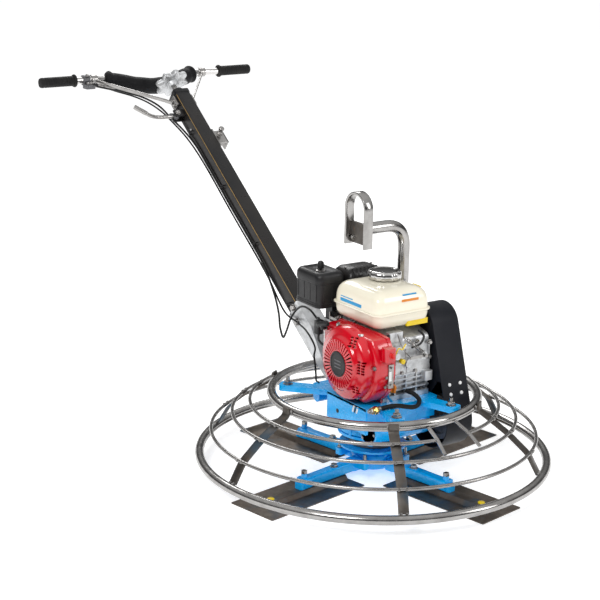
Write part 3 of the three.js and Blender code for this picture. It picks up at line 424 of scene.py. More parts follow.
class Shells:
    """Closed surfaces gathered into one piece. Each call adds one, and place= puts it somewhere else."""

    def __init__(self, *looks):
        self.mesh = bmesh.new()
        self.looks = looks
        self.paint = 0

    def use(self, look):
        """The finish of what is added next."""
        self.paint = self.looks.index(look)
        return self

    def face(self, corners):
        if len(set(corners)) > 2:
            made = self.mesh.faces.new(corners)
            made.material_index = self.paint
            made.smooth = True

    def loft(self, loops, place=None, wrap=False):
        """Joins loops of points, all of one length, into a skin that is capped at its two ends."""
        place = place or Matrix()
        rows = [[self.mesh.verts.new(place @ Vector(p)) for p in loop] for loop in loops]
        for a, b in zip(rows, rows[1:] + (rows[:1] if wrap else [])):
            for i in range(len(a)):
                j = (i + 1) % len(a)
                self.face((a[i], a[j], b[j], b[i]))
        if not wrap:
            self.face(tuple(reversed(rows[0])))
            self.face(tuple(rows[-1]))
        return self

    def box(self, low, high, place=None, radius=0.0):
        outline = rectangle(low[0], low[1], high[0], high[1], radius)
        return self.prism(outline, low[2], high[2], place)

    def prism(self, outline, low, high, place=None):
        """An outline in the local xy plane, from one local z to another."""
        return self.loft([[(u, v, w) for u, v in outline] for w in (low, high)], place)

    def bar(self, radius, a, b, sides=24, end_radius=None):
        a, b = Vector(a), Vector(b)
        end = radius if end_radius is None else end_radius
        return self.loft([circle(radius, sides), circle(end, sides, (b - a).length)], basis(a, b - a))

    def lathe(self, profile, place=None, sides=48, wave=None):
        """A profile of (radius, height) about local z, closed on itself unless it starts on the axis."""
        solid = profile[0][0] == 0
        loops = []
        for radius, height in profile[1:-1] if solid else profile:
            loop = circle(1.0, sides, height)
            reach = [radius * (wave(2 * math.pi * i / sides, radius) if wave else 1) for i in range(sides)]
            loops.append([(p.x * r, p.y * r, height) for p, r in zip(loop, reach)])
        return self.loft(loops, place, wrap=not solid)

    def sweep(self, section, path, side=None, closed=False, scale=None):
        """A section of (across, out) points along a path. side is the across direction, if it is fixed."""
        path = [Vector(p) for p in path]
        count = len(path)
        loops = []
        across = None
        for i, here in enumerate(path):
            before = path[i - 1] if closed or i else here
            after = path[(i + 1) % count] if closed or i < count - 1 else here
            run = (after - before).normalized()
            if side is not None:
                across = Vector(side)
            elif across is None:
                across = run.orthogonal().normalized() if abs(run.z) > 0.9 else run.cross(Z).normalized()
            across = (across - run * across.dot(run)).normalized()
            out = run.cross(across)
            grow = scale(i / (count - 1)) if scale else 1
            loops.append([here + across * (u * grow) + out * (v * grow) for u, v in section])
        return self.loft(loops, wrap=closed)

    def tube(self, radius, path, sides=16, closed=False, scale=None):
        return self.sweep([(p.x, p.y) for p in circle(radius, sides)], path, closed=closed, scale=scale)

    def ring(self, radius, thickness, place=None, steps=160, sides=20):
        place = place or Matrix()
        return self.tube(thickness, [place @ p for p in circle(radius, steps)], sides, closed=True)

    def bolt(self, place, along, across=17, head=7, washer=True, shank=0):
        """A hex head with a chamfered top, on a washer, standing on place."""
        seat = basis(place, along)
        r = across / 2 / math.cos(math.pi / 6)
        thick = 1.6
        lift = thick if washer else 0
        if washer:
            self.lathe([(0, 0), (across * 0.72, 0), (across * 0.72, thick), (0, thick)], seat, 24)
        loops = [circle(r * 0.96, 6, lift), circle(r, 6, lift + 0.8), circle(r, 6, lift + head - 1.2),
                 circle(r * 0.86, 6, lift + head)]
        self.loft(loops, seat)
        if shank:
            self.bar(across * 0.28, at(seat, 0, 0, lift), at(seat, 0, 0, lift + head + shank), 12)
        return self

    def bead(self, a, b, radius):
        """A run of weld metal: a lumpy tapered bar from a to b."""
        a, b = Vector(a), Vector(b)
        steps = max(6, int((b - a).length / radius * 2))
        path = [a.lerp(b, i / steps) for i in range(steps + 1)]

        def lumpy(t):
            ends = min(1.0, 4 * t + 0.35, 4 * (1 - t) + 0.35)
            return ends * (1 + 0.13 * math.sin(2.7 * t * steps))

        return self.tube(radius, path, 8, scale=lumpy)

    def finished_mesh(self, name):
        """The shells as mesh data in the frame's metres. Nothing can be added afterwards."""
        bmesh.ops.recalc_face_normals(self.mesh, faces=self.mesh.faces)
        self.mesh.transform(TO_FRAME)
        data = bpy.data.meshes.new(name)
        self.mesh.to_mesh(data)
        self.mesh.free()
        return data

    def piece(self, name, body="chassis", replaces=(), edge=0.0):
        """Turns the shells into one piece, with its edges eased by edge millimetres."""
        data = self.finished_mesh(name)
        data.shade_smooth()
        data.set_sharp_from_angle(angle=math.radians(SHARP_DEG))
        for look in self.looks:
            data.materials.append(LOOKS[look].material)
        made = add_object(name, data)
        if edge:
            ease_edges(made, edge, SHARP_DEG).harden_normals = True
        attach(made, body)
        if replaces:
            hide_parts(*replaces)
        return made


def cut(made, tool):
    """Cuts the tool's shells out of a piece, and keeps the result as the piece's mesh."""
    cutter = add_object("tool", tool.finished_mesh("tool"))
    boolean = made.modifiers.new("cut", "BOOLEAN")
    boolean.object = cutter
    boolean.operation = "DIFFERENCE"
    boolean.solver = "EXACT"
    made.modifiers.move(len(made.modifiers) - 1, 0)
    bpy.context.view_layer.update()
    kept = [m for m in made.modifiers if m.type == "BEVEL"]
    for bevel in kept:
        bevel.show_viewport = False
    graph = bpy.context.evaluated_depsgraph_get()
    result = bpy.data.meshes.new_from_object(made.evaluated_get(graph))
    made.modifiers.remove(boolean)
    for bevel in kept:
        bevel.show_viewport = True
    made.data = result
    bpy.data.objects.remove(cutter)
    made.data.set_sharp_from_angle(angle=math.radians(SHARP_DEG))


def spun(angle_deg):
    return Matrix.Rotation(math.radians(angle_deg), 4, "Z")


# ------------------------------------------------------------------ ring guard
# radius about the rotor, height and bar radius
GUARD = {"lower_ring": (470, 50, 12.5), "upper_ring": (276.8, 220.6, 12.5)}
RODS = {"lower": (438.7, 117.7), "middle": (381.9, 165.6), "upper": (334.5, 196.3)}
ROD_R = 4.75
HATCH_DEG = (82, 99.5)
HATCH_BAR = (9, 6)
UPRIGHT_DEG = [3.2 + 60 * i for i in range(6)]
UPRIGHT_BAR = (27, 6)
UPRIGHT_LINE = [(294, 233), (294, 212), (330.6, 188.6), (376.9, 158.6), (432.1, 112.2), (461.2, 61)]
HATCH_LINE = [(290.5, 214.5), (336, 197), (376, 171)]


def radial(line, angle_deg, radius=14):
    """A line of (radius, height) points, in the plane at an angle about the rotor, with soft bends."""
    turn = spun(angle_deg)
    return filleted([at(turn, r, 0, z) for r, z in line], radius)


def flat_bar(width, thick, ease=1.2):
    return rectangle(-width / 2, -thick / 2, width / 2, thick / 2, ease, 2)


def make_guard():
    for name, (radius, height, tube) in GUARD.items():
        shells = Shells("bright")
        shells.ring(radius, tube, Matrix.Translation((0, 0, height)), 200, 28)
        shells.piece("guard_" + name, replaces=[name])
    for name in ("lower", "middle"):
        radius, height = RODS[name]
        shells = Shells("rod")
        shells.ring(radius, ROD_R, Matrix.Translation((0, 0, height)), 180, 12)
        shells.piece(f"rod_{name}", replaces=[f"guard_rod_{name}"])

    radius, height = RODS["upper"]
    start, end = HATCH_DEG[1], HATCH_DEG[0] + 360
    steps = 170
    arc = [at(spun(start + (end - start) * i / steps), radius, 0, height) for i in range(steps + 1)]
    shells = Shells("rod", "bright")
    shells.tube(ROD_R, arc, 12)
    shells.use("bright")
    for angle in HATCH_DEG:
        across = spun(angle) @ Y
        shells.sweep(flat_bar(*HATCH_BAR), radial(HATCH_LINE, angle), side=across)
    shells.piece("rod_upper", replaces=["guard_rod_upper"])

    for i, angle in enumerate(UPRIGHT_DEG):
        turn = spun(angle)
        shells = Shells("strap", "zinc")
        shells.sweep(flat_bar(*UPRIGHT_BAR), radial(UPRIGHT_LINE, angle), side=turn @ Y)
        shells.use("zinc")
        for radius, height in RODS.values():
            for side in (-1, 1):
                weld = radius + 3
                shells.bead(at(turn, weld, side * 6, height), at(turn, weld, side * 13, height), 4.4)
        for side in (-1, 1):
            shells.bead(at(turn, 463, side * 12, 63), at(turn, 463, side * 3, 63.5), 3.2)
            shells.bead(at(turn, 289, side * 13.5, 214), at(turn, 289, side * 13.5, 228), 3.0)
        shells.piece(f"upright_{i + 1}", replaces=[f"guard_upright_{i + 1}"])


# ------------------------------------------------------------------ trowel arms and blades
BLADE_DEG = [10.9 + 90 * i for i in range(4)]
BLADE = {"inner": 110, "outer": 450, "half": 77, "thick": 2.6}
RIB = {"inner": 118, "outer": 396, "half": 24, "top": 15.6}
# an arm's cross-sections: distance from the rotor's axis, half width, underside and top
ARM_SECTIONS = [
    (60, 13, 19, 41), (66, 19, 15.8, 46), (84, 19, 15.8, 46), (92, 15.5, 16.2, 44),
    (238, 14, 16.2, 43), (252, 17, 16.2, 44), (272, 17, 16.2, 44),
]


def make_rotor():
    for i, angle in enumerate(BLADE_DEG):
        turn = spun(angle)
        arm = Shells("blue", "zinc")
        loops = [[(x, u, v) for u, v in rectangle(-half, low, half, high, 4)]
                 for x, half, low, high in ARM_SECTIONS]
        arm.loft(loops, turn)
        arm.bar(11, at(turn, 26, 0, 30), at(turn, 66, 0, 30))
        arm.prism(rectangle(262, -14, 285, 14, 6), 16, 32, turn)
        arm.prism(rectangle(67, 12, 89, 55, 6), 30, 49, turn)
        arm.bar(9, at(turn, 262, 0, 42), at(turn, 262, 0, 55), 20, 7.5)
        arm.use("zinc")
        arm.bolt(at(turn, 262, 0, 54), Z, 15, 9, False)
        arm.bolt(at(turn, 150, 0, 43), Z, 16, 7)
        arm.bar(5.6, at(turn, 78, 45, 44), at(turn, 78, 45, 70), 16, 5)
        arm.bolt(at(turn, 78, 45, 49), Z, 15, 5, False)
        arm.piece(f"arm_{i + 1}", f"arm_{i + 1}", [f"trowel_arm_{i + 1}"], edge=1.0)

        blade = Shells("blade", "yellow")
        flat = rectangle(BLADE["inner"], -BLADE["half"], BLADE["outer"], BLADE["half"], 3)
        blade.prism(flat, 0, BLADE["thick"], turn)
        foot, top = RIB["half"], RIB["top"]
        rib = rounded([(-foot, 2.2), (foot, 2.2), (15, top), (-15, top)], [0, 0, 4, 4])
        blade.loft([[(x, u, v) for u, v in rib] for x in (RIB["inner"], RIB["outer"])], turn)
        for side in (-1, 1):
            weld = side * foot
            blade.bead(at(turn, RIB["inner"], weld, 3), at(turn, RIB["outer"], weld, 3), 1.3)
        blade.use("yellow")
        plug = [(0, 14.8), (9.5, 14.8), (9.5, 17.6), (7.5, 19), (0, 19)]
        blade.lathe(plug, turn @ Matrix.Translation((382, 0, 0)), 24)
        blade.piece(f"trowel_blade_{i + 1}", f"arm_{i + 1}", [f"blade_{i + 1}"], edge=0.5)

    hub = Shells("blue")
    hub.lathe([(0, 14), (50, 14), (56, 15.5), (60, 21), (60, 52), (57, 56), (50, 58), (28, 60), (0, 60)])
    hub.bar(17.5, (0, 0, 60), (0, 0, 168))
    for angle in BLADE_DEG:
        turn = spun(angle)
        hub.bar(20, at(turn, 44, 0, 33), at(turn, 64.5, 0, 33))
    hub.piece("hub", "rotor", ["spider_hub"], edge=0.8)

    plate = Shells("blue", "zinc")
    plate.lathe([(24, 72), (92, 72), (92, 78), (24, 78)], sides=64)
    plate.use("zinc")
    for k in range(8):
        plate.bolt(spun(22.5 + 45 * k) @ Vector((76, 0, 72)), -Z, 10, 4, False)
    plate.piece("wear_ring", "wear_plate", ["wear_plate"], edge=0.8)


# ------------------------------------------------------------------ engine deck and gearbox
# where each arm of the frame starts and ends, in x and y
RIGHT_ARMS = ((58, 124, 96, 238), (100, -60, 196, -164))
FRAME_ARMS = [((side * x0, y0), (side * x1, y1)) for x0, y0, x1, y1 in RIGHT_ARMS for side in (1, -1)]


def make_deck():
    deck = Shells("blue", "zinc", "white", "plastic")
    deck.prism(rectangle(-108, -120, 122, 142, 10), DECK_TOP - 8, DECK_TOP)
    skirt_top = DECK_TOP - 1
    deck.box((114, -46, 158), (122, 130, skirt_top))
    deck.box((-108, 20, 190), (-100, 130, skirt_top))
    deck.box((-102, 126, 174), (120, 134, skirt_top))
    deck.box((-96, -118, 176), (110, -110, skirt_top))
    deck.bar(15, (-102, -103, 197), (118, -103, 197), 32)
    deck.prism(rectangle(-182, -118, -104, -64, 6), DECK_TOP - 14, DECK_TOP)
    for start, end in FRAME_ARMS:
        run = Vector(end) - Vector(start)
        frame_arm = basis((*start, 214), Z, (*run.normalized(), 0))
        deck.prism(rectangle(-4, -19, run.length, 19, [2, 10, 10, 2]), 0, 15.8, frame_arm)
        for weld in (-19, 19):
            deck.bead(at(frame_arm, 6, weld, 13), at(frame_arm, 30, weld, 13), 3)
    for y0, y1 in ((-40, 0), (20, 60), (80, 122)):
        deck.bead((121, y0, 222), (121, y1, 222), 2.2)
    deck.use("zinc")
    for start, end in FRAME_ARMS:
        run = (Vector(end) - Vector(start)).normalized()
        spot = Vector(end) - run * 22
        deck.bolt((spot.x, spot.y, 229.8), Z, 19, 9, True, 10)
    deck.bolt((-120, -91, DECK_TOP), Z, 17, 8, True, 8)
    deck.use("plastic")
    deck.bar(6, (121.5, 3, 188), (122.6, 3, 188), 24)
    for k in range(3):
        y = 68 + 8.5 * k
        deck.use("white" if k % 2 == 0 else "plastic")
        deck.prism([(y, 206), (y + 6, 206), (y + 12, 225), (y + 6, 225)], 121.8, 122.5, ALONG_X)
    deck.piece("deck", replaces=["engine_deck"], edge=1.0)

    box = Shells("blue", "zinc")
    box.lathe([(0, 118.5), (90, 118.5), (97, 122), (97, 172), (88, 178), (72, 190), (0, 190)], sides=64)
    box.bar(33, WORM - X * 92, WORM + X * 92, 40)
    box.bar(38, WORM + X * 76, WORM + X * 92, 40)
    box.box((-70, -70, 180), (70, 70, 221.4))
    for angle in range(15, 360, 30):
        turn = spun(angle)
        box.box((86, -4, 120), (100, 4, 174), turn)
    for side in (-1, 1):
        box.box((side * 40 - 4, 70, 150), (side * 40 + 4, 100, 210))
    box.use("zinc")
    for angle in range(0, 360, 45):
        spoke = Matrix.Rotation(math.radians(angle), 3, "X") @ (Z * 29)
        box.bolt(WORM + X * 92 + spoke, X, 8, 3, False)
    for angle in range(0, 360, 30):
        box.bolt(spun(angle) @ Vector((84, 0, 106.6)) + Vector((0, 0, 3)), -Z, 9, 3.4, False)
    box.piece("gear_case", replaces=["gearbox_housing"], edge=1.2)

    cover = Shells("blue")
    cover.lathe([(20, 106), (42, 106), (46, 110), (96, 110), (96, 117.7), (20, 117.7)], sides=64)
    cover.piece("gear_cover", replaces=["gearbox_cover"], edge=0.8)


make_guard()
make_rotor()
make_deck()


# ------------------------------------------------------------------ engine
CAP_AT = Matrix.Translation((-42, -25, 0))
CLEANER_STUD = Matrix.Translation((67, -168, 0))


def crank_frame(x=0.0):
    """Local z along +X on the crank's axis; local x points up."""
    return basis(CRANK + X * x, X, Z)


def shroud_outline(shrink):
    """The fan shroud in the (y, z) plane: a round front about the crank, and a flat rear, top and bottom."""
    radius = 117 - shrink
    arc = [
        (CRANK.y + radius * math.cos(a), CRANK.z + radius * math.sin(a))
        for a in (math.radians(-62 + 104 * i / 30) for i in range(31))
    ]
    left = -92 + shrink
    bottom = 233 + shrink
    return [(left, 326), (-26 + shrink, bottom), (98, bottom), *arc, (96, 417 - shrink),
            (-76 + shrink, 414 - shrink), (left, 396)]


def make_shroud():
    shroud = Shells("red", "zinc", "white")
    loops = [[(x, u, v) for u, v in shroud_outline(inset)]
             for x, inset in ((56, 0), (66, 0), (67, 2.4), (98, 2.4), (105, 3.6), (109.5, 6.5), (112, 12))]
    shroud.loft(loops)
    shroud.box((54, -30, 228), (60, 110, 238))
    shroud.use("zinc")
    for angle in (35, 155, 275):
        turn = crank_frame(112.5) @ spun(angle)
        shroud.bolt(at(turn, 104, 0, 0), X, 9, 4)
    shroud.bolt((112, -72, 398), X, 10, 5)
    for y, z in ((150, 318), (146, 292)):
        shroud.bolt((82, y + 8, z), Y + Z * (z - 336) / 150, 8, 4, False)
    shroud.box((62, 160, 288), (78, 164, 352))
    shroud.bar(3, (70, 163, 344), (70, 170, 344), 12)
    shroud.bar(3, (70, 163, 298), (70, 168, 298), 12)
    shroud.use("white")
    shroud.box((69, 163.5, 308), (77, 164.8, 334))
    shroud.box((110.5, -81, 330), (112.4, -76, 388))
    shroud.use("red")
    shroud.box((70, 156, 366), (100, 184, 402), radius=5)
    shroud.piece("shroud", replaces=["fan_shroud"], edge=0.8)

    switch = Shells("signal_red")
    switch.lathe([(0, 0), (7.6, 0), (7.6, 9), (6.6, 10.6), (0, 10.6)], basis((85, 176.4, 384), Y), 32)
    switch.box((82.5, 186, 377), (87.5, 193, 391))
    switch.piece("stop_switch", "engine_switch", ["engine_switch"], edge=0.7)

    cover = Shells("red")
    outside = [(0, 155), (60, 155), (66, 154), (70, 150.5), (73, 146), (78, 142.5), (90, 141), (95, 137.5),
               (98, 131), (98, 112.3)]
    inside = [(94.5, 112.3), (94.5, 130), (90, 136.5), (76, 138.5), (70, 142), (64, 150), (0, 150)]
    cover.lathe(outside + inside, crank_frame(), 96)
    made = cover.piece("starter_cover", replaces=["recoil_cover"])
    tool = Shells("red")
    for k in range(36):
        turn = crank_frame() @ spun(10 * k)
        tool.prism([(37, -1.2), (64, -2.3), (64, 2.3), (37, 1.2)], 146, 160, turn)
    for angle, rows in ((-34, 4), (-84, 5), (-132, 3)):
        centre = crank_frame() @ spun(angle) @ Vector((83, 0, 0))
        for row in range(rows):
            z = centre.z + 7.4 * (row - (rows - 1) / 2)
            for side in (-1, 1):
                y = centre.y + side * 6.6
                tool.box((130, y - 5.2, z - 2.6), (152, y + 5.2, z + 2.6))
    cut(made, tool)

    inner = Shells("plastic", "zinc", "iron")
    inner.lathe([(0, 140), (62, 140), (62, 143), (0, 143)], crank_frame(), 48)
    badge = [(0, 155), (33, 155), (34.5, 156), (33, 157), (29, 157), (28, 156), (0, 156)]
    inner.lathe(badge, crank_frame(), 48)
    inner.use("zinc")
    for angle in (90, 210, 330):
        inner.bolt(crank_frame() @ spun(angle) @ Vector((96, 0, 113)), X, 9, 14, False)
    inner.use("iron")
    for k in range(3):
        inner.box((155.9, 32, 325 + 9 * k), (156.5, 60, 328 + 9 * k))
    inner.piece("starter_badge", edge=0.2)

    grip_at = Matrix.Translation((130, -62, 412)) @ Matrix.Rotation(math.radians(18), 4, "X")
    grip = Shells("plastic")
    grip.tube(8, [at(grip_at, 0, y, 0) for y in range(-26, 27, 2)], 20,
              scale=lambda t: 0.55 + 0.45 * max(0, math.sin(math.pi * t)) ** 0.35)
    grip.bar(7, at(grip_at, 0, 0, -14), at(grip_at, 0, 0, 0), 16, 8)
    grip.piece("starter_grip", "recoil_grip", ["recoil_grip"])


FLANK_INSET = 5.4  # about how far the tank's sides lie inside its seam


def make_tank():
    low, high = span("fuel_tank")
    tank = Shells("cream", "sky", "orange", "yellow")
    lower = [(421, 36, 10), (421.6, 27, 14), (424, 19, 18), (429, 12.5, 21), (438, 7.5, 22), (449, 5.5, 23),
             (459.8, 5, 23)]
    seam = [(460.6, 0.8, 25.5), (461.4, 0, 26), (464.6, 0, 26), (465.4, 0.8, 25.5)]
    upper = [(466.2, 5, 23), (484, 6, 23), (497, 8, 23), (505, 11, 23), (513, 17, 22), (518, 25, 19),
             (521, 35, 14), (522.6, 50, 8)]
    tank.loft(box_loops(low, high, lower + seam + upper, 10))
    tank.lathe([(0, 516), (33, 520), (33, 523.5), (0, 523.6)], CAP_AT, 48)
    side_x, front_y = high.x - FLANK_INSET, high.y - FLANK_INSET
    tank.use("sky")
    tank.box((side_x - 4, -64, 470), (side_x + 0.4, 30, 479))
    tank.box((side_x - 5, -64, 482.5), (side_x - 0.2, -10, 485))
    tank.use("orange")
    tank.box((-62, front_y - 5, 492), (-8, front_y - 0.6, 498))
    tank.use("sky")
    tank.box((-58, front_y - 10, 507), (-14, front_y - 5.6, 510))
    tank.use("yellow")
    tank.box((-98, front_y - 12, 423), (-28, front_y - 2.6, 437), radius=3)
    tank.box((-98, 30, 505), (-90, 62, 515))
    tank.piece("tank", replaces=["fuel_tank"])

    cap = Shells("chrome")
    profile = [(0, 524.2), (36, 524.2), (43, 525), (45.2, 527), (46, 532), (45.4, 542), (42.6, 545.6),
               (38, 547.2), (34, 547.4), (32.5, 546.2), (12, 547.2), (0, 547.4)]

    def fluted(angle, radius):
        return 1 + (0.022 * (math.cos(14 * angle) - 1) if radius > 42 else 0)

    cap.lathe(profile, CAP_AT, 128, wave=fluted)
    cap.piece("tank_cap", "fuel_cap", ["fuel_cap"])


def box_loops(low, high, layers, steps=6):
    """Rounded rectangles for a loft. Each layer is (height, inset, corner radius)."""
    return [
        [(u, v, z) for u, v in rectangle(low.x + i, low.y + i, high.x - i, high.y - i, r, steps)]
        for z, i, r in layers
    ]


def make_air_cleaner():
    low, high = span("air_cleaner_cover")
    base = Shells("plastic")
    base.loft(box_loops(low, high, [(437, 2, 18), (439, 0, 20), (444.5, 0, 20)]))
    base.box((24, -150, 396), (60, -120, 439))
    base.bar(3.5, at(CLEANER_STUD, 0, 0, 442), at(CLEANER_STUD, 0, 0, 544), 16)
    base.piece("cleaner_base", replaces=["air_cleaner_base"], edge=0.6)
    cover = Shells("plastic", "zinc")
    wall = [(445, 1.2, 19), (449, 1.2, 19), (450, 2.6, 18), (503, 2.0, 18), (504, 0.4, 20), (510, 0, 20)]
    lid = [(521, 0.5, 20), (527, 3, 19), (531, 7, 17), (532.8, 12, 14), (533, 15, 12), (530, 19, 10),
           (527.5, 24, 8)]
    cover.loft(box_loops(low, high, wall + lid, 8))
    for k in range(4):
        y = -214 + 28 * k
        cover.box((high.x - 3.4, y, 454), (high.x - 1.4, y + 5, 500))
    for k in range(3):
        x = 36 + 27 * k
        cover.box((x, high.y - 3.4, 454), (x + 5, high.y - 1.4, 500))
    cover.use("zinc")
    cover.lathe([(0, 527), (15, 527), (15, 529), (13, 530), (0, 530)], CLEANER_STUD, 32)
    cover.piece("cleaner_cover", replaces=["air_cleaner_cover"], edge=0.4)
    knob = Shells("plastic")
    knob.lathe([(0, 533.4), (9, 533.4), (8, 540), (9, 545), (7.4, 551), (4, 554), (0, 554.6)],
               CLEANER_STUD, 32, wave=lambda a, r: 1 + (0.07 * math.cos(5 * a) if r > 5 else 0))
    knob.piece("cleaner_knob", "wing_nut", ["wing_nut"])


def make_muffler():
    low, high = span("muffler")
    box = Shells("black", "zinc")
    layers = [(446, 8, 12), (450, 2, 16), (460, 0, 16), (506, 0, 16), (522, 5, 15), (530, 13, 12),
              (533.4, 26, 8), (534, 36, 4)]
    box.loft(box_loops(low, high, layers))
    louvre = [(high.y - inset, z) for inset, z in ((3, 496), (-0.4, 500), (3.5, 522), (14, 533.4), (20, 531))]
    for k in range(7):
        x = low.x + 16 + 13 * k
        box.prism(louvre, x, x + 5, ALONG_X)
    for k in range(4):
        y = low.y + 16 + 17 * k
        box.box((high.x - 2, y, 464), (high.x + 0.2, y + 8, 506))
    box.bar(12, (-60, low.y + 4, 470), (-60, low.y - 3.5, 470), 32)
    box.box((-62, -160, 416), (-18, -125, 450))
    box.use("zinc")
    for x in (low.x + 14, high.x - 14):
        box.bolt((x, high.y - 45, 531), Z, 8, 2.6, False)
    box.piece("silencer", replaces=["muffler"], edge=1.0)


def coil(a, b, radius, turns, steps=12):
    """Points of a helix from a to b."""
    run = Vector(b) - Vector(a)
    place = basis(a, run)
    count = turns * steps
    points = []
    for i in range(count + 1):
        angle = 2 * math.pi * i / steps
        points.append(at(place, radius * math.cos(angle), radius * math.sin(angle), run.length * i / count))
    return points


def make_engine_block():
    block = Shells("alloy", "zinc", "plastic", "yellow", "sky")
    outline = rounded([(-44, 243), (98, 243), (108, 300), (97, 392), (20, 414), (-44, 404)], 12)
    middle = Vector((30, 325))
    layers = ((-104, -4), (-101, 0), (-30, 0), (-29, 2), (-23, 2), (-22, 0), (50, 0), (52, -3))
    loops = [[(x, *(middle + (p - middle) * (1 + grow / 80))) for p in outline] for x, grow in layers]
    block.loft(loops)
    block.box((-96, -72, 230.3), (54, 112, 244))
    for k in range(4):
        z = 256 + 13 * k
        block.box((-96, 96, z), (46, 112.5 - 1.5 * k % 2, z + 4))
    for x in (-92, -58, -24, 12, 44):
        block.box((x, 92, 244), (x + 4, 110, 300))
    block.lathe([(0, -109), (34, -109), (40, -102), (40, -96), (0, -96)], crank_frame(), 48)
    block.prism(rounded([(40, 312), (108, 312), (106, 372), (70, 388), (40, 380)], 8), -100, -96, ALONG_X)
    block.bar(13, (-70, 96, 344), (-70, 122, 344), 32, 11)
    block.bar(16, (-30, 96, 326), (-30, 116, 326), 32, 14)
    block.bar(9, (16, 96, 352), (16, 120, 352), 24)
    block.box((-100, 98, 272), (-74, 124, 298), radius=4)
    block.box((-52, 84, 366), (40, 108, 374), radius=2)
    block.box((-12, 86, 388), (34, 104, 414), radius=3)
    block.use("zinc")
    for x, z in ((-98, 332), (-98, 372), (-56, 380), (40, 366), (44, 300), (-52, 300), (-8, 300), (34, 252),
                 (-88, 252)):
        block.bolt((x, 106, z), Y, 10, 5)
    for x in (-82, 36):
        for y in (-58, 98):
            block.bolt((x, y, 243.6), Z, 13, 7)
    block.bar(5, (-70, 120, 344), (-70, 132, 344), 16)
    block.box((-76, 124, 340), (-20, 127, 348), radius=1)
    block.tube(1.6, smooth([(-22, 126, 346), (-6, 124, 362), (6, 118, 384), (10, 108, 410)], 5), 8)
    block.tube(1.0, coil((-64, 126, 352), (-8, 122, 398), 4.2, 14), 6)
    block.use("plastic")
    breather = [(40, 108, 412), (46, 120, 396), (40, 122, 372), (44, 120, 348), (50, 116, 322)]
    block.tube(4, smooth(breather, 6), 10)
    block.tube(3, smooth([(-60, 104, 410), (-70, 116, 396), (-58, 120, 378), (-30, 118, 370)], 6), 10)
    block.box((24, 112, 330), (40, 124, 360), radius=3)
    block.use("yellow")
    block.bar(7, (-2, 110, 336), (-2, 121, 336), 20)
    block.tube(1.8, smooth([(30, 124, 356), (20, 128, 378), (6, 124, 372), (-8, 120, 384)], 6), 8)
    block.use("sky")
    oil_wire = [(54, 130, 306), (53, 124, 286), (50, 121, 264), (42, 120, 244), (34, 124, 234)]
    block.tube(3.2, smooth(oil_wire, 6), 10)
    block.piece("engine_block", replaces=["crankcase"], edge=1.0)

    stick = Shells("orange")
    stick.lathe([(0, 0), (12, 0), (12, 8), (10, 11), (0, 11)], basis((30, 113, 268), Y), 32,
                wave=lambda a, r: 1 + (0.05 * math.cos(10 * a) if r > 11 else 0))
    stick.box((27.4, 122, 258), (32.6, 131, 278), radius=2)
    stick.piece("oil_stick", "dipstick", ["dipstick"], edge=0.6)


CARB_X, CARB_Y = 44, -134  # the middle of the float bowl


def make_carburettor():
    carb = Shells("alloy", "plastic", "zinc", "brass")
    carb.box((26, -150, 350), (62, -118, 397.7), radius=5)
    carb.lathe([(0, 320), (12, 320), (16, 323), (17.5, 328), (17.5, 346), (15, 352), (0, 352)],
               Matrix.Translation((CARB_X, CARB_Y, 0)), 40)
    carb.bar(9, (18, CARB_Y, 372), (28, CARB_Y, 372), 24)
    carb.box((22, -154, 391), (64, -116, 398), radius=4)
    carb.use("brass")
    carb.bolt((CARB_X, CARB_Y, 320), -Z, 9, 6, False)
    carb.bar(3, (CARB_X, -118, 366), (CARB_X, -111, 366), 12)
    carb.use("zinc")
    carb.box((30, -119, 398), (70, -116, 424), radius=1)
    carb.box((66, -118, 404), (69, -84, 412), radius=1)
    carb.box((58, -112, 352), (61, -78, 362), radius=1)
    carb.tube(1.6, smooth([(60, -80, 357), (66, -70, 372), (64, -74, 400), (68, -88, 408)], 6), 8)
    carb.tube(1.0, coil((62, -110, 404), (66, -74, 420), 3.6, 11), 6)
    carb.bar(3.4, (54, CARB_Y, 397), (54, CARB_Y, 408), 12)
    carb.bolt((40, -117, 418), Y, 8, 4)
    carb.use("plastic")
    carb.box((70, -112, 372), (90, -88, 394), radius=4)
    carb.box((84, -106, 394), (92, -82, 402), radius=3)
    carb.box((64, -172, 352), (84, -150, 388), radius=5)
    carb.tube(4, smooth([(80, -100, 374), (84, -104, 356), (72, -120, 344), (56, -128, 346)], 6), 10)
    fuel_line = [(74, -160, 356), (80, -150, 336), (70, -120, 322), (58, -96, 316), (40, -80, 318)]
    carb.tube(3.4, smooth(fuel_line, 6), 10)
    carb.piece("carb", replaces=["carburettor"], edge=0.6)

    choke = Shells("plastic")
    choke.box((64, -140, 366), (67, -128, 392))
    choke.bar(4, (62.6, CARB_Y, 378), (74, CARB_Y, 378), 16)
    choke.box((64, -176, 384), (67, -130, 391))
    choke.box((62.5, -182, 383), (68.5, -170, 393), radius=3)
    choke.piece("choke_arm", "choke_lever", ["choke_lever"], edge=0.7)


DRAIN_ROUTE = [(104, 156, 234), (88, 159, 237), (62, 161, 238), (36, 160, 233.5), (6, 156.5, 224),
               (-16, 154, 219), (-32, 152, 222), (-36, 150, 234), (-24, 141, 250), (-12, 122, 256)]


FITTING_Y, FITTING_Z = 156, 234


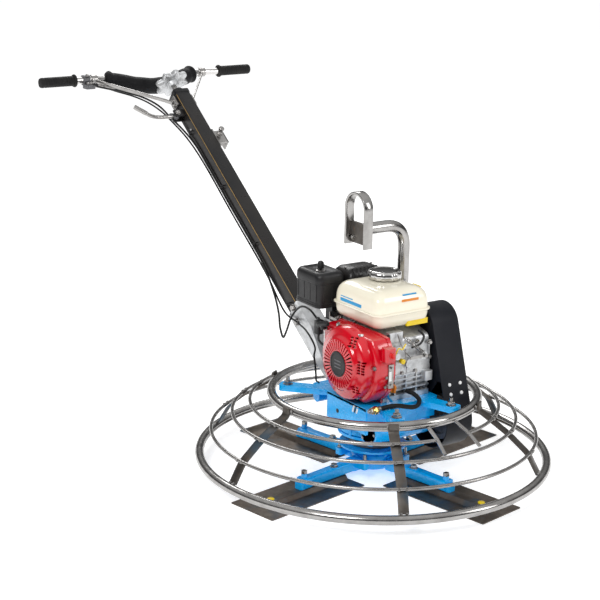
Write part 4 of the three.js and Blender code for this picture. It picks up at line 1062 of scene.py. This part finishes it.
def make_drain():
    hose = Shells("rubber", "brass", "zinc")
    hose.tube(6, smooth(DRAIN_ROUTE, 8), 20)
    hose.use("zinc")
    hose.bar(8, (97, 157, 235.2), (107, FITTING_Y, FITTING_Z), 24)
    hose.bolt((122, FITTING_Y, FITTING_Z), X, 13, 8, False)
    hose.bar(4.5, (128, FITTING_Y, FITTING_Z), (134, FITTING_Y, FITTING_Z), 20)
    hose.use("brass")
    hose.bolt((105, FITTING_Y, FITTING_Z), X, 19, 11, False)
    hose.bar(9, (114, FITTING_Y, FITTING_Z), (122, FITTING_Y, FITTING_Z), 28)
    hose.piece("drain", replaces=["drain_hose"])


# ------------------------------------------------------------------ belt guard
# the guard's two round ends as ((y, z), radius)
GUARD_UPPER, GUARD_LOWER = (Vector((46, 398)), 60), (Vector((100, 152)), 80)
GUARD_OUTER_X, GUARD_INNER_X = -199, -110
GUARD_WALL = 2.4


def belt_frame():
    """Heading from the upper circle to the lower one, and the angle to each side where the flanks touch."""
    run = GUARD_LOWER[0] - GUARD_UPPER[0]
    return math.atan2(run.y, run.x), math.acos((GUARD_UPPER[1] - GUARD_LOWER[1]) / run.length)


def guard_outline(inset, steps=28):
    heading, spread = belt_frame()
    outline = []
    arcs = ((GUARD_UPPER, spread, 2 * math.pi - 2 * spread), (GUARD_LOWER, -spread, 2 * spread))
    for (centre, radius), start, sweep in arcs:
        for i in range(steps + 1):
            angle = heading + start + sweep * i / steps
            outline.append(centre + (radius - inset) * Vector((math.cos(angle), math.sin(angle))))
    return outline


def make_belt_guard():
    def ring(x, inset):
        return [(x, u, v) for u, v in guard_outline(inset)]

    guard = Shells("guard", "white")
    outside = [ring(GUARD_OUTER_X + depth, inset) for depth, inset in ((0, 5), (0.8, 2.2), (3, 0.6), (6, 0))]
    inside = [ring(GUARD_OUTER_X + depth, inset) for depth, inset in ((5, GUARD_WALL), (2.6, 5))]
    guard.loft([*outside, ring(GUARD_INNER_X, 0), ring(GUARD_INNER_X, GUARD_WALL), *inside])
    guard.use("white")
    heading, spread = belt_frame()
    front = Vector((math.cos(heading + spread), math.sin(heading + spread)))
    corner = GUARD_UPPER[0] + GUARD_UPPER[1] * front
    for z in (233, 258):
        spot = corner + Vector((front.y, -front.x)) * ((corner.y - z) / front.x)
        for x in (-136, -172):
            rivet = [(0, 0), (5, 0), (4.2, 2), (2.4, 2.9), (0, 3.1)]
            guard.lathe(rivet, basis((x, *spot), (0, *front)), 20)
    guard.piece("belt_case", replaces=["belt_guard"])

    plate = Shells("guard")
    plate.prism(guard_outline(1), -113, -110.2, ALONG_X)
    made = plate.piece("belt_case_inner", edge=0.5)
    tool = Shells("guard")
    below_slant = [(-60, 20), (190, 20), (190, 266), (131, 266), (84, 200), (-60, 200)]
    tool.prism(below_slant, -130, -100, ALONG_X)
    tool.bar(26, (-130, *CRANK.yz), (-100, *CRANK.yz), 40)
    cut(made, tool)


# ------------------------------------------------------------------ lifting bail
PIPE_X, PIPE_Y = -155, -91
PIPE_FOOT, PIPE_TOP = DECK_TOP + 0.3, 647
PIPE_R, PIPE_BEND = 16.5, 75
LOOP_HALF = 43
LOOP_FOOT, LOOP_CENTRE = 603, 705
LOOP_STRAP = (28, 8, 2)


def make_bail():
    bail = Shells("bright", "strap", "zinc")
    pipe = [(PIPE_X, PIPE_Y, PIPE_FOOT), (PIPE_X, PIPE_Y, PIPE_TOP), (-10, PIPE_Y, PIPE_TOP)]
    bail.tube(PIPE_R, filleted(pipe, PIPE_BEND, 16), 32)
    bail.bar(20, (PIPE_X, PIPE_Y, PIPE_FOOT), (PIPE_X, PIPE_Y, 238), 32)
    arch = [(0, PIPE_Y - LOOP_HALF * math.cos(a), LOOP_CENTRE + LOOP_HALF * math.sin(a))
            for a in (math.pi * i / 24 for i in range(25))]
    rear, front = PIPE_Y - LOOP_HALF, PIPE_Y + LOOP_HALF
    path = [(0, rear, LOOP_FOOT), (0, rear, 650), *arch, (0, front, 650), (0, front, LOOP_FOOT)]
    bail.sweep(flat_bar(*LOOP_STRAP), path, side=X)
    bail.bead((-14, -106, 660), (-14, -76, 660), 3)
    bail.use("strap")
    bail.box((-14, -136, 607), (-5, -46, 664))
    bail.use("zinc")
    for y in (-120, -62):
        bail.bolt((-5, y, 622), X, 10, 5)
    bail.piece("bail", replaces=["lifting_bail"], edge=0.8)


# ------------------------------------------------------------------ handle
TILT = math.radians(36.5)
TUBE_FACE = (0, math.sin(TILT), math.cos(TILT))
TUBE_RUN = (0, -math.cos(TILT), math.sin(TILT))
# local x across, y out of the tube's top face, z along it from its foot
HANDLE = Matrix((X, TUBE_FACE, TUBE_RUN)).transposed().to_4x4()
HANDLE.translation = (0, -294, 317)
TUBE = 25.4  # half the tube's width
TUBE_LENGTH = 940
BAR_Y, BAR_Z = -1255, 919
BAR_REACH = 371
BAR_R = 11
PAD_HALF = 158
LEVER_PIN = (47.4, 0, 863)
THROTTLE_X = 223


def bar_curve(reach, steps=10):
    half = [(reach, BAR_Y, BAR_Z), (230, BAR_Y, BAR_Z), (178, BAR_Y, BAR_Z + 1), (130, BAR_Y + 14, BAR_Z - 7),
            (66, -1215, 899)]
    mirrored = [(-x, y, z) for x, y, z in reversed(half)]
    return smooth([*half, (0, -1205, 893), *mirrored], steps)


def make_handle():
    tube = Shells("black", "bronze", "zinc")
    tube.prism(rectangle(-TUBE, -TUBE, TUBE, TUBE, 5), 0, TUBE_LENGTH, HANDLE)
    tube.prism(rectangle(-27, -27, 27, 27, 6), TUBE_LENGTH - 1, TUBE_LENGTH + 13, HANDLE)
    tube.lathe([(0, 952), (22, 952), (20, 964), (0, 964)], HANDLE, 40)
    for low in (-14, 9):
        tube.prism(rectangle(TUBE - 1, low, TUBE + 34, low + 5), 850, 876, HANDLE)
    tube.use("bronze")
    tube.box((TUBE - 1.5, TUBE - 2.6, 60), (TUBE + 0.15, TUBE - 0.9, 930), HANDLE)
    tube.use("zinc")
    for side in (1, -1):
        tube.bolt(at(HANDLE, LEVER_PIN[0], side * 14, LEVER_PIN[2]), HANDLE.to_3x3() @ (Y * side), 12, 5)
    for z in (800, 905):
        tube.lathe([(0, 0), (5, 0), (4, 2.4), (0, 3)], basis(at(HANDLE, TUBE, 0, z), X), 20)
    tube.piece("tube", replaces=["handle_tube"], edge=0.8)

    socket = Shells("zinc")
    for side in (-1, 1):
        for y, z in ((-8, 40), (10, 78)):
            socket.bolt(at(HANDLE, side * 30, y, z), X * side, 15, 7)
    socket.piece("socket_bolts")


def make_handlebar():
    bar = Shells("chrome", "zinc", "iron")
    bar.tube(BAR_R, bar_curve(BAR_REACH), 28)
    bar.use("zinc")
    for side in (-1, 1):
        path = filleted([(side * 198, BAR_Y + 4, BAR_Z - 2), (side * 186, BAR_Y + 20, BAR_Z - 6),
                         (side * 48, -1052, 868), (side * 36, -1034, 862)], 12)
        bar.sweep(flat_bar(11, 6, 1.5), path, side=(0, 0.595, 0.804))
        bar.bar(15, (side * 206, BAR_Y, BAR_Z), (side * 186, BAR_Y, BAR_Z), 32)
        low, high = sorted((side * (TUBE + 0.3), side * (TUBE + 9)))
        bar.box((low, -16, 896), (high, 16, 934), HANDLE, radius=2)
        for z in (905, 925):
            bar.bolt(HANDLE @ Vector((side * (TUBE + 9), 0, z)), X * side, 11, 5)
    bar.use("iron")
    bar.bar(16, (212, BAR_Y, BAR_Z), (234, BAR_Y, BAR_Z), 32)
    bar.box((208, BAR_Y + 8, BAR_Z - 24), (238, BAR_Y + 40, BAR_Z - 10), radius=3)
    bar.use("zinc")
    bar.bolt((THROTTLE_X, BAR_Y + 12, BAR_Z + 13), Z, 9, 5)
    for x, y, z in ((176, 20, -16), (160, 30, -20), (146, 38, -24)):
        bar.bar(6.5, (x + 9, BAR_Y + y - 6, BAR_Z + z + 2), (x - 5, BAR_Y + y + 3, BAR_Z + z - 1), 16)
        bar.bolt((x, BAR_Y + y, BAR_Z + z + 4), Z, 8, 4)
    bar.piece("crossbar", replaces=["handlebar"], edge=0.5)

    for name, side in (("right", 1), ("left", -1)):
        sleeve = Shells("rubber")
        ribs = []
        for k in range(11):
            x = 271 + 8.6 * k
            ribs += [(15.9, x), (15.9, x + 5.4), (15.0, x + 6.4), (15.0, x + 7.6)]
        flange = [(11.6, 259), (19, 259), (20, 260.5), (20, 264), (18, 266.5), (15.4, 268)]
        closed_end = [(15.9, 368), (15.9, 374), (14, 378), (9, 379), (0.01, 379), (0.01, 373), (11.6, 373)]
        sleeve.lathe([*flange, *ribs, *closed_end], basis((0, BAR_Y, BAR_Z), X * side), 40)
        sleeve.piece(f"grip_sleeve_{name}", replaces=[f"grip_{name}"])


def make_pad():
    curve = [p for p in bar_curve(BAR_REACH, 14) if abs(p.x) < PAD_HALF]

    def squared(value):
        """A sine or cosine pushed outwards, which squares a circle up a little."""
        return abs(value) ** 0.9 * math.copysign(1, value)

    angles = [2 * math.pi * i / 32 for i in range(32)]
    section = [(27.5 * squared(math.cos(a)), 26 * squared(math.sin(a))) for a in angles]

    def swell(t):
        ends = min(t, 1 - t)
        lip = 0.10 * math.exp(-((ends - 0.035) / 0.02) ** 2)
        tuck = -0.05 * math.exp(-((ends - 0.085) / 0.02) ** 2)
        close = -0.12 * max(0, 1 - ends / 0.012)
        return 0.93 + lip + tuck + close + 0.012 * math.sin(38 * t)

    pad = Shells("pad", "rubber")
    pad.sweep(section, curve, side=(0, 0.2, 1), scale=swell)
    pad.use("rubber")
    for p, q in ((curve[0], curve[2]), (curve[-1], curve[-3])):
        out = (p - q).normalized()
        pad.lathe([(11.4, 0), (21, 0), (22, 1.4), (20, 2.6), (12.5, 2.6)], basis(p - out * 0.6, out), 32)
    made = pad.piece("belly_pad", replaces=["bar_pad"])


def make_controls():
    wheel = Shells("alloy", "zinc")
    lobes, middle, swing = 8, 48.5, 6.5
    angles = [2 * math.pi * i / 160 for i in range(160)]
    loops = []
    for z, inset in ((997, 5), (998.5, 2), (1001, 0.4), (1005, 0), (1009, 0.4), (1011.5, 2), (1013, 5)):
        reach = [middle - inset + swing * math.cos(lobes * a) for a in angles]
        loops.append([(r * math.cos(a), r * math.sin(a), z) for r, a in zip(reach, angles)])
    wheel.loft(loops, HANDLE)
    boss = [(0, 985), (16, 985), (19, 990), (22, 997), (22, 1013), (18, 1017), (15, 1019), (0, 1019)]
    wheel.lathe(boss, HANDLE, 40)
    wheel.lathe([(30, 1012.4), (34, 1012.4), (33, 1014.4), (31, 1014.4)], HANDLE, 64)
    wheel.use("zinc")
    wheel.bar(8, at(HANDLE, 0, 0, 830), at(HANDLE, 0, 0, 990), 24)
    wheel.bolt(at(HANDLE, 0, 0, 1018), HANDLE.to_3x3() @ Z, 14, 4, False)
    wheel.piece("pitch_wheel", "star_wheel", ["star_wheel"])

    lever = Shells("zinc", "iron")
    route = [LEVER_PIN, (80, 0, 862), (118, 2, 863), (136, 3, 870), (150, 4, 884), (176, 6, 910)]
    path = [HANDLE @ p for p in smooth(route, 8)]
    lever.tube(6, path, 20)
    lever.tube(7.4, path[30:], 20)
    lever.use("iron")
    lever.lathe([(0, -8.6), (10, -8.6), (10, 8.6), (0, 8.6)], HANDLE @ basis(LEVER_PIN, Y), 32)
    lever.bar(8, at(HANDLE, 50, 0, 863), at(HANDLE, 70, 0, 867), 24, 7)
    lever.piece("pitch_lever", "hand_lever", ["hand_lever"], edge=0.5)

    bracket = Shells("zinc")
    screw = HANDLE @ Matrix.Translation((-TUBE - 19, 0, 753))
    bracket.box((-TUBE - 5, -20, 705), (-TUBE - 0.3, 24, 775), HANDLE, radius=1)
    bracket.box((-TUBE - 35, 19, 715), (-TUBE - 2, 24, 765), HANDLE)
    bracket.box((-TUBE - 35, -10, 715), (-TUBE - 30, 24, 755), HANDLE)
    up = HANDLE.to_3x3() @ Y
    bracket.bolt(at(screw, 0, 24, 0), up, 14, 6)
    bracket.bar(4, at(screw, 0, 24, 0), at(screw, 0, 44, 0), 16)
    knob = [(0, 0), (8, 0), (8.6, 2), (8.6, 7), (7, 8.4), (0, 8.4)]
    bracket.lathe(knob, basis(at(screw, 0, 39.5, 0), up), 24, wave=lambda a, r: 1 + 0.06 * math.cos(8 * a))
    bracket.piece("hose_bracket", replaces=["side_bracket"], edge=0.5)

    throttle = Shells("zinc", "plastic")
    throttle.bar(9, (THROTTLE_X, BAR_Y + 26, BAR_Z - 9.6), (THROTTLE_X, BAR_Y + 26, BAR_Z - 3), 28)
    throttle.box((THROTTLE_X - 5, BAR_Y + 24, BAR_Z - 8), (THROTTLE_X + 5, BAR_Y + 70, BAR_Z - 4.5), radius=3)
    throttle.use("plastic")
    knob_z = BAR_Z - 6.2
    throttle.bar(7, (THROTTLE_X, BAR_Y + 64, knob_z), (THROTTLE_X, BAR_Y + 79, knob_z), 20, 5.5)
    throttle.piece("throttle_arm", "throttle_lever", ["throttle_lever"], edge=0.5)


CABLE_X = TUBE + 5  # the cable lies along the tube's right face
THROTTLE_ROUTE = [
    (204, -1231, 902), (165, -1205, 893), (125, -1170, 884), (90, -1120, 872),
    (62, -1072, 850), (44, -1030, 818), (CABLE_X + 4, -965, 786), (CABLE_X, -893, 746),
    (CABLE_X, -693, 598), (CABLE_X, -513, 464), (CABLE_X + 6, -440, 386), (40, -412, 340),
    (40, -404, 300), (40, -388, 276), (42, -368, 300), (44, -340, 350),
    (46, -290, 392), (50, -240, 396), (52, -200, 380), (50, -164, 366),
]
STOP_WIRE_ROUTE = [
    (176, -1236, 898), (140, -1208, 884), (104, -1168, 872), (76, -1118, 856),
    (54, -1070, 832), (40, -1020, 802), (31, -955, 766), (29, -873, 716),
    (29, -693, 582), (29, -493, 434), (34, -390, 350), (46, -310, 342),
    (70, -220, 338), (84, -162, 311), (84, -166, 289), (84, -160, 263),
    (84, -156, 240), (92, -142, 226), (106, -110, 232),
]


def make_cables():
    cable = Shells("cable", "zinc")
    cable.tube(3, smooth(THROTTLE_ROUTE, 10), 14)
    cable.use("zinc")
    cable.bar(4.2, (214, -1236, 904), (198, -1228, 901), 16)
    cable.piece("throttle_line", replaces=["throttle_cable"])
    wire = Shells("cable")
    wire.tube(2.6, smooth(STOP_WIRE_ROUTE, 10), 12)
    wire.piece("stop_wire")
    ties = Shells("plastic")
    for z in (100, 330, 560, 790):
        spot = at(HANDLE, TUBE + 3.5, -2, z)
        ties.lathe([(7.4, -2.2), (8.8, -2.2), (8.8, 2.2), (7.4, 2.2)], basis(spot, HANDLE.to_3x3() @ Z), 24)
    ties.piece("cable_ties")


make_shroud()
make_tank()
make_air_cleaner()
make_muffler()
make_engine_block()
make_carburettor()
make_drain()
make_belt_guard()
make_bail()
make_handle()
make_handlebar()
make_pad()
make_controls()
make_cables()

# the frame's remaining nodes
IRON_NODES = ("worm_shaft", "clutch_pulley", "crankshaft", "thrust_collar", "pitch_yoke")
NODE_LOOKS = {"handle_socket": "alloy", "worm_wheel": "bronze", "drive_belt": "rubber",
              **dict.fromkeys(IRON_NODES, "iron")}
SLOT_LOOKS = {"bright_steel": "bright", "dark_steel": "strap", "blue_paint": "blue", "red_paint": "red",
              "cream_paint": "cream", "black_paint": "black", "cast_aluminium": "alloy", "cast_iron": "iron",
              "bronze": "bronze", "black_plastic": "plastic", "rubber": "rubber", "pad_cover": "pad",
              "orange_plastic": "orange", "red_plastic": "signal_red"}


def dress_frame():
    slots = {s["node"]: s["material_slot"] for s in frame["record"]["subparts"]}
    for name, node in frame["nodes"].items():
        look = LOOKS[NODE_LOOKS.get(name, SLOT_LOOKS[slots[name]])]
        for place in node.material_slots:
            place.material = look.material
        weld = node.modifiers.new("weld", "WELD")
        weld.merge_threshold = 1e-5
        ease_edges(node, 0.5, 32)


dress_frame()
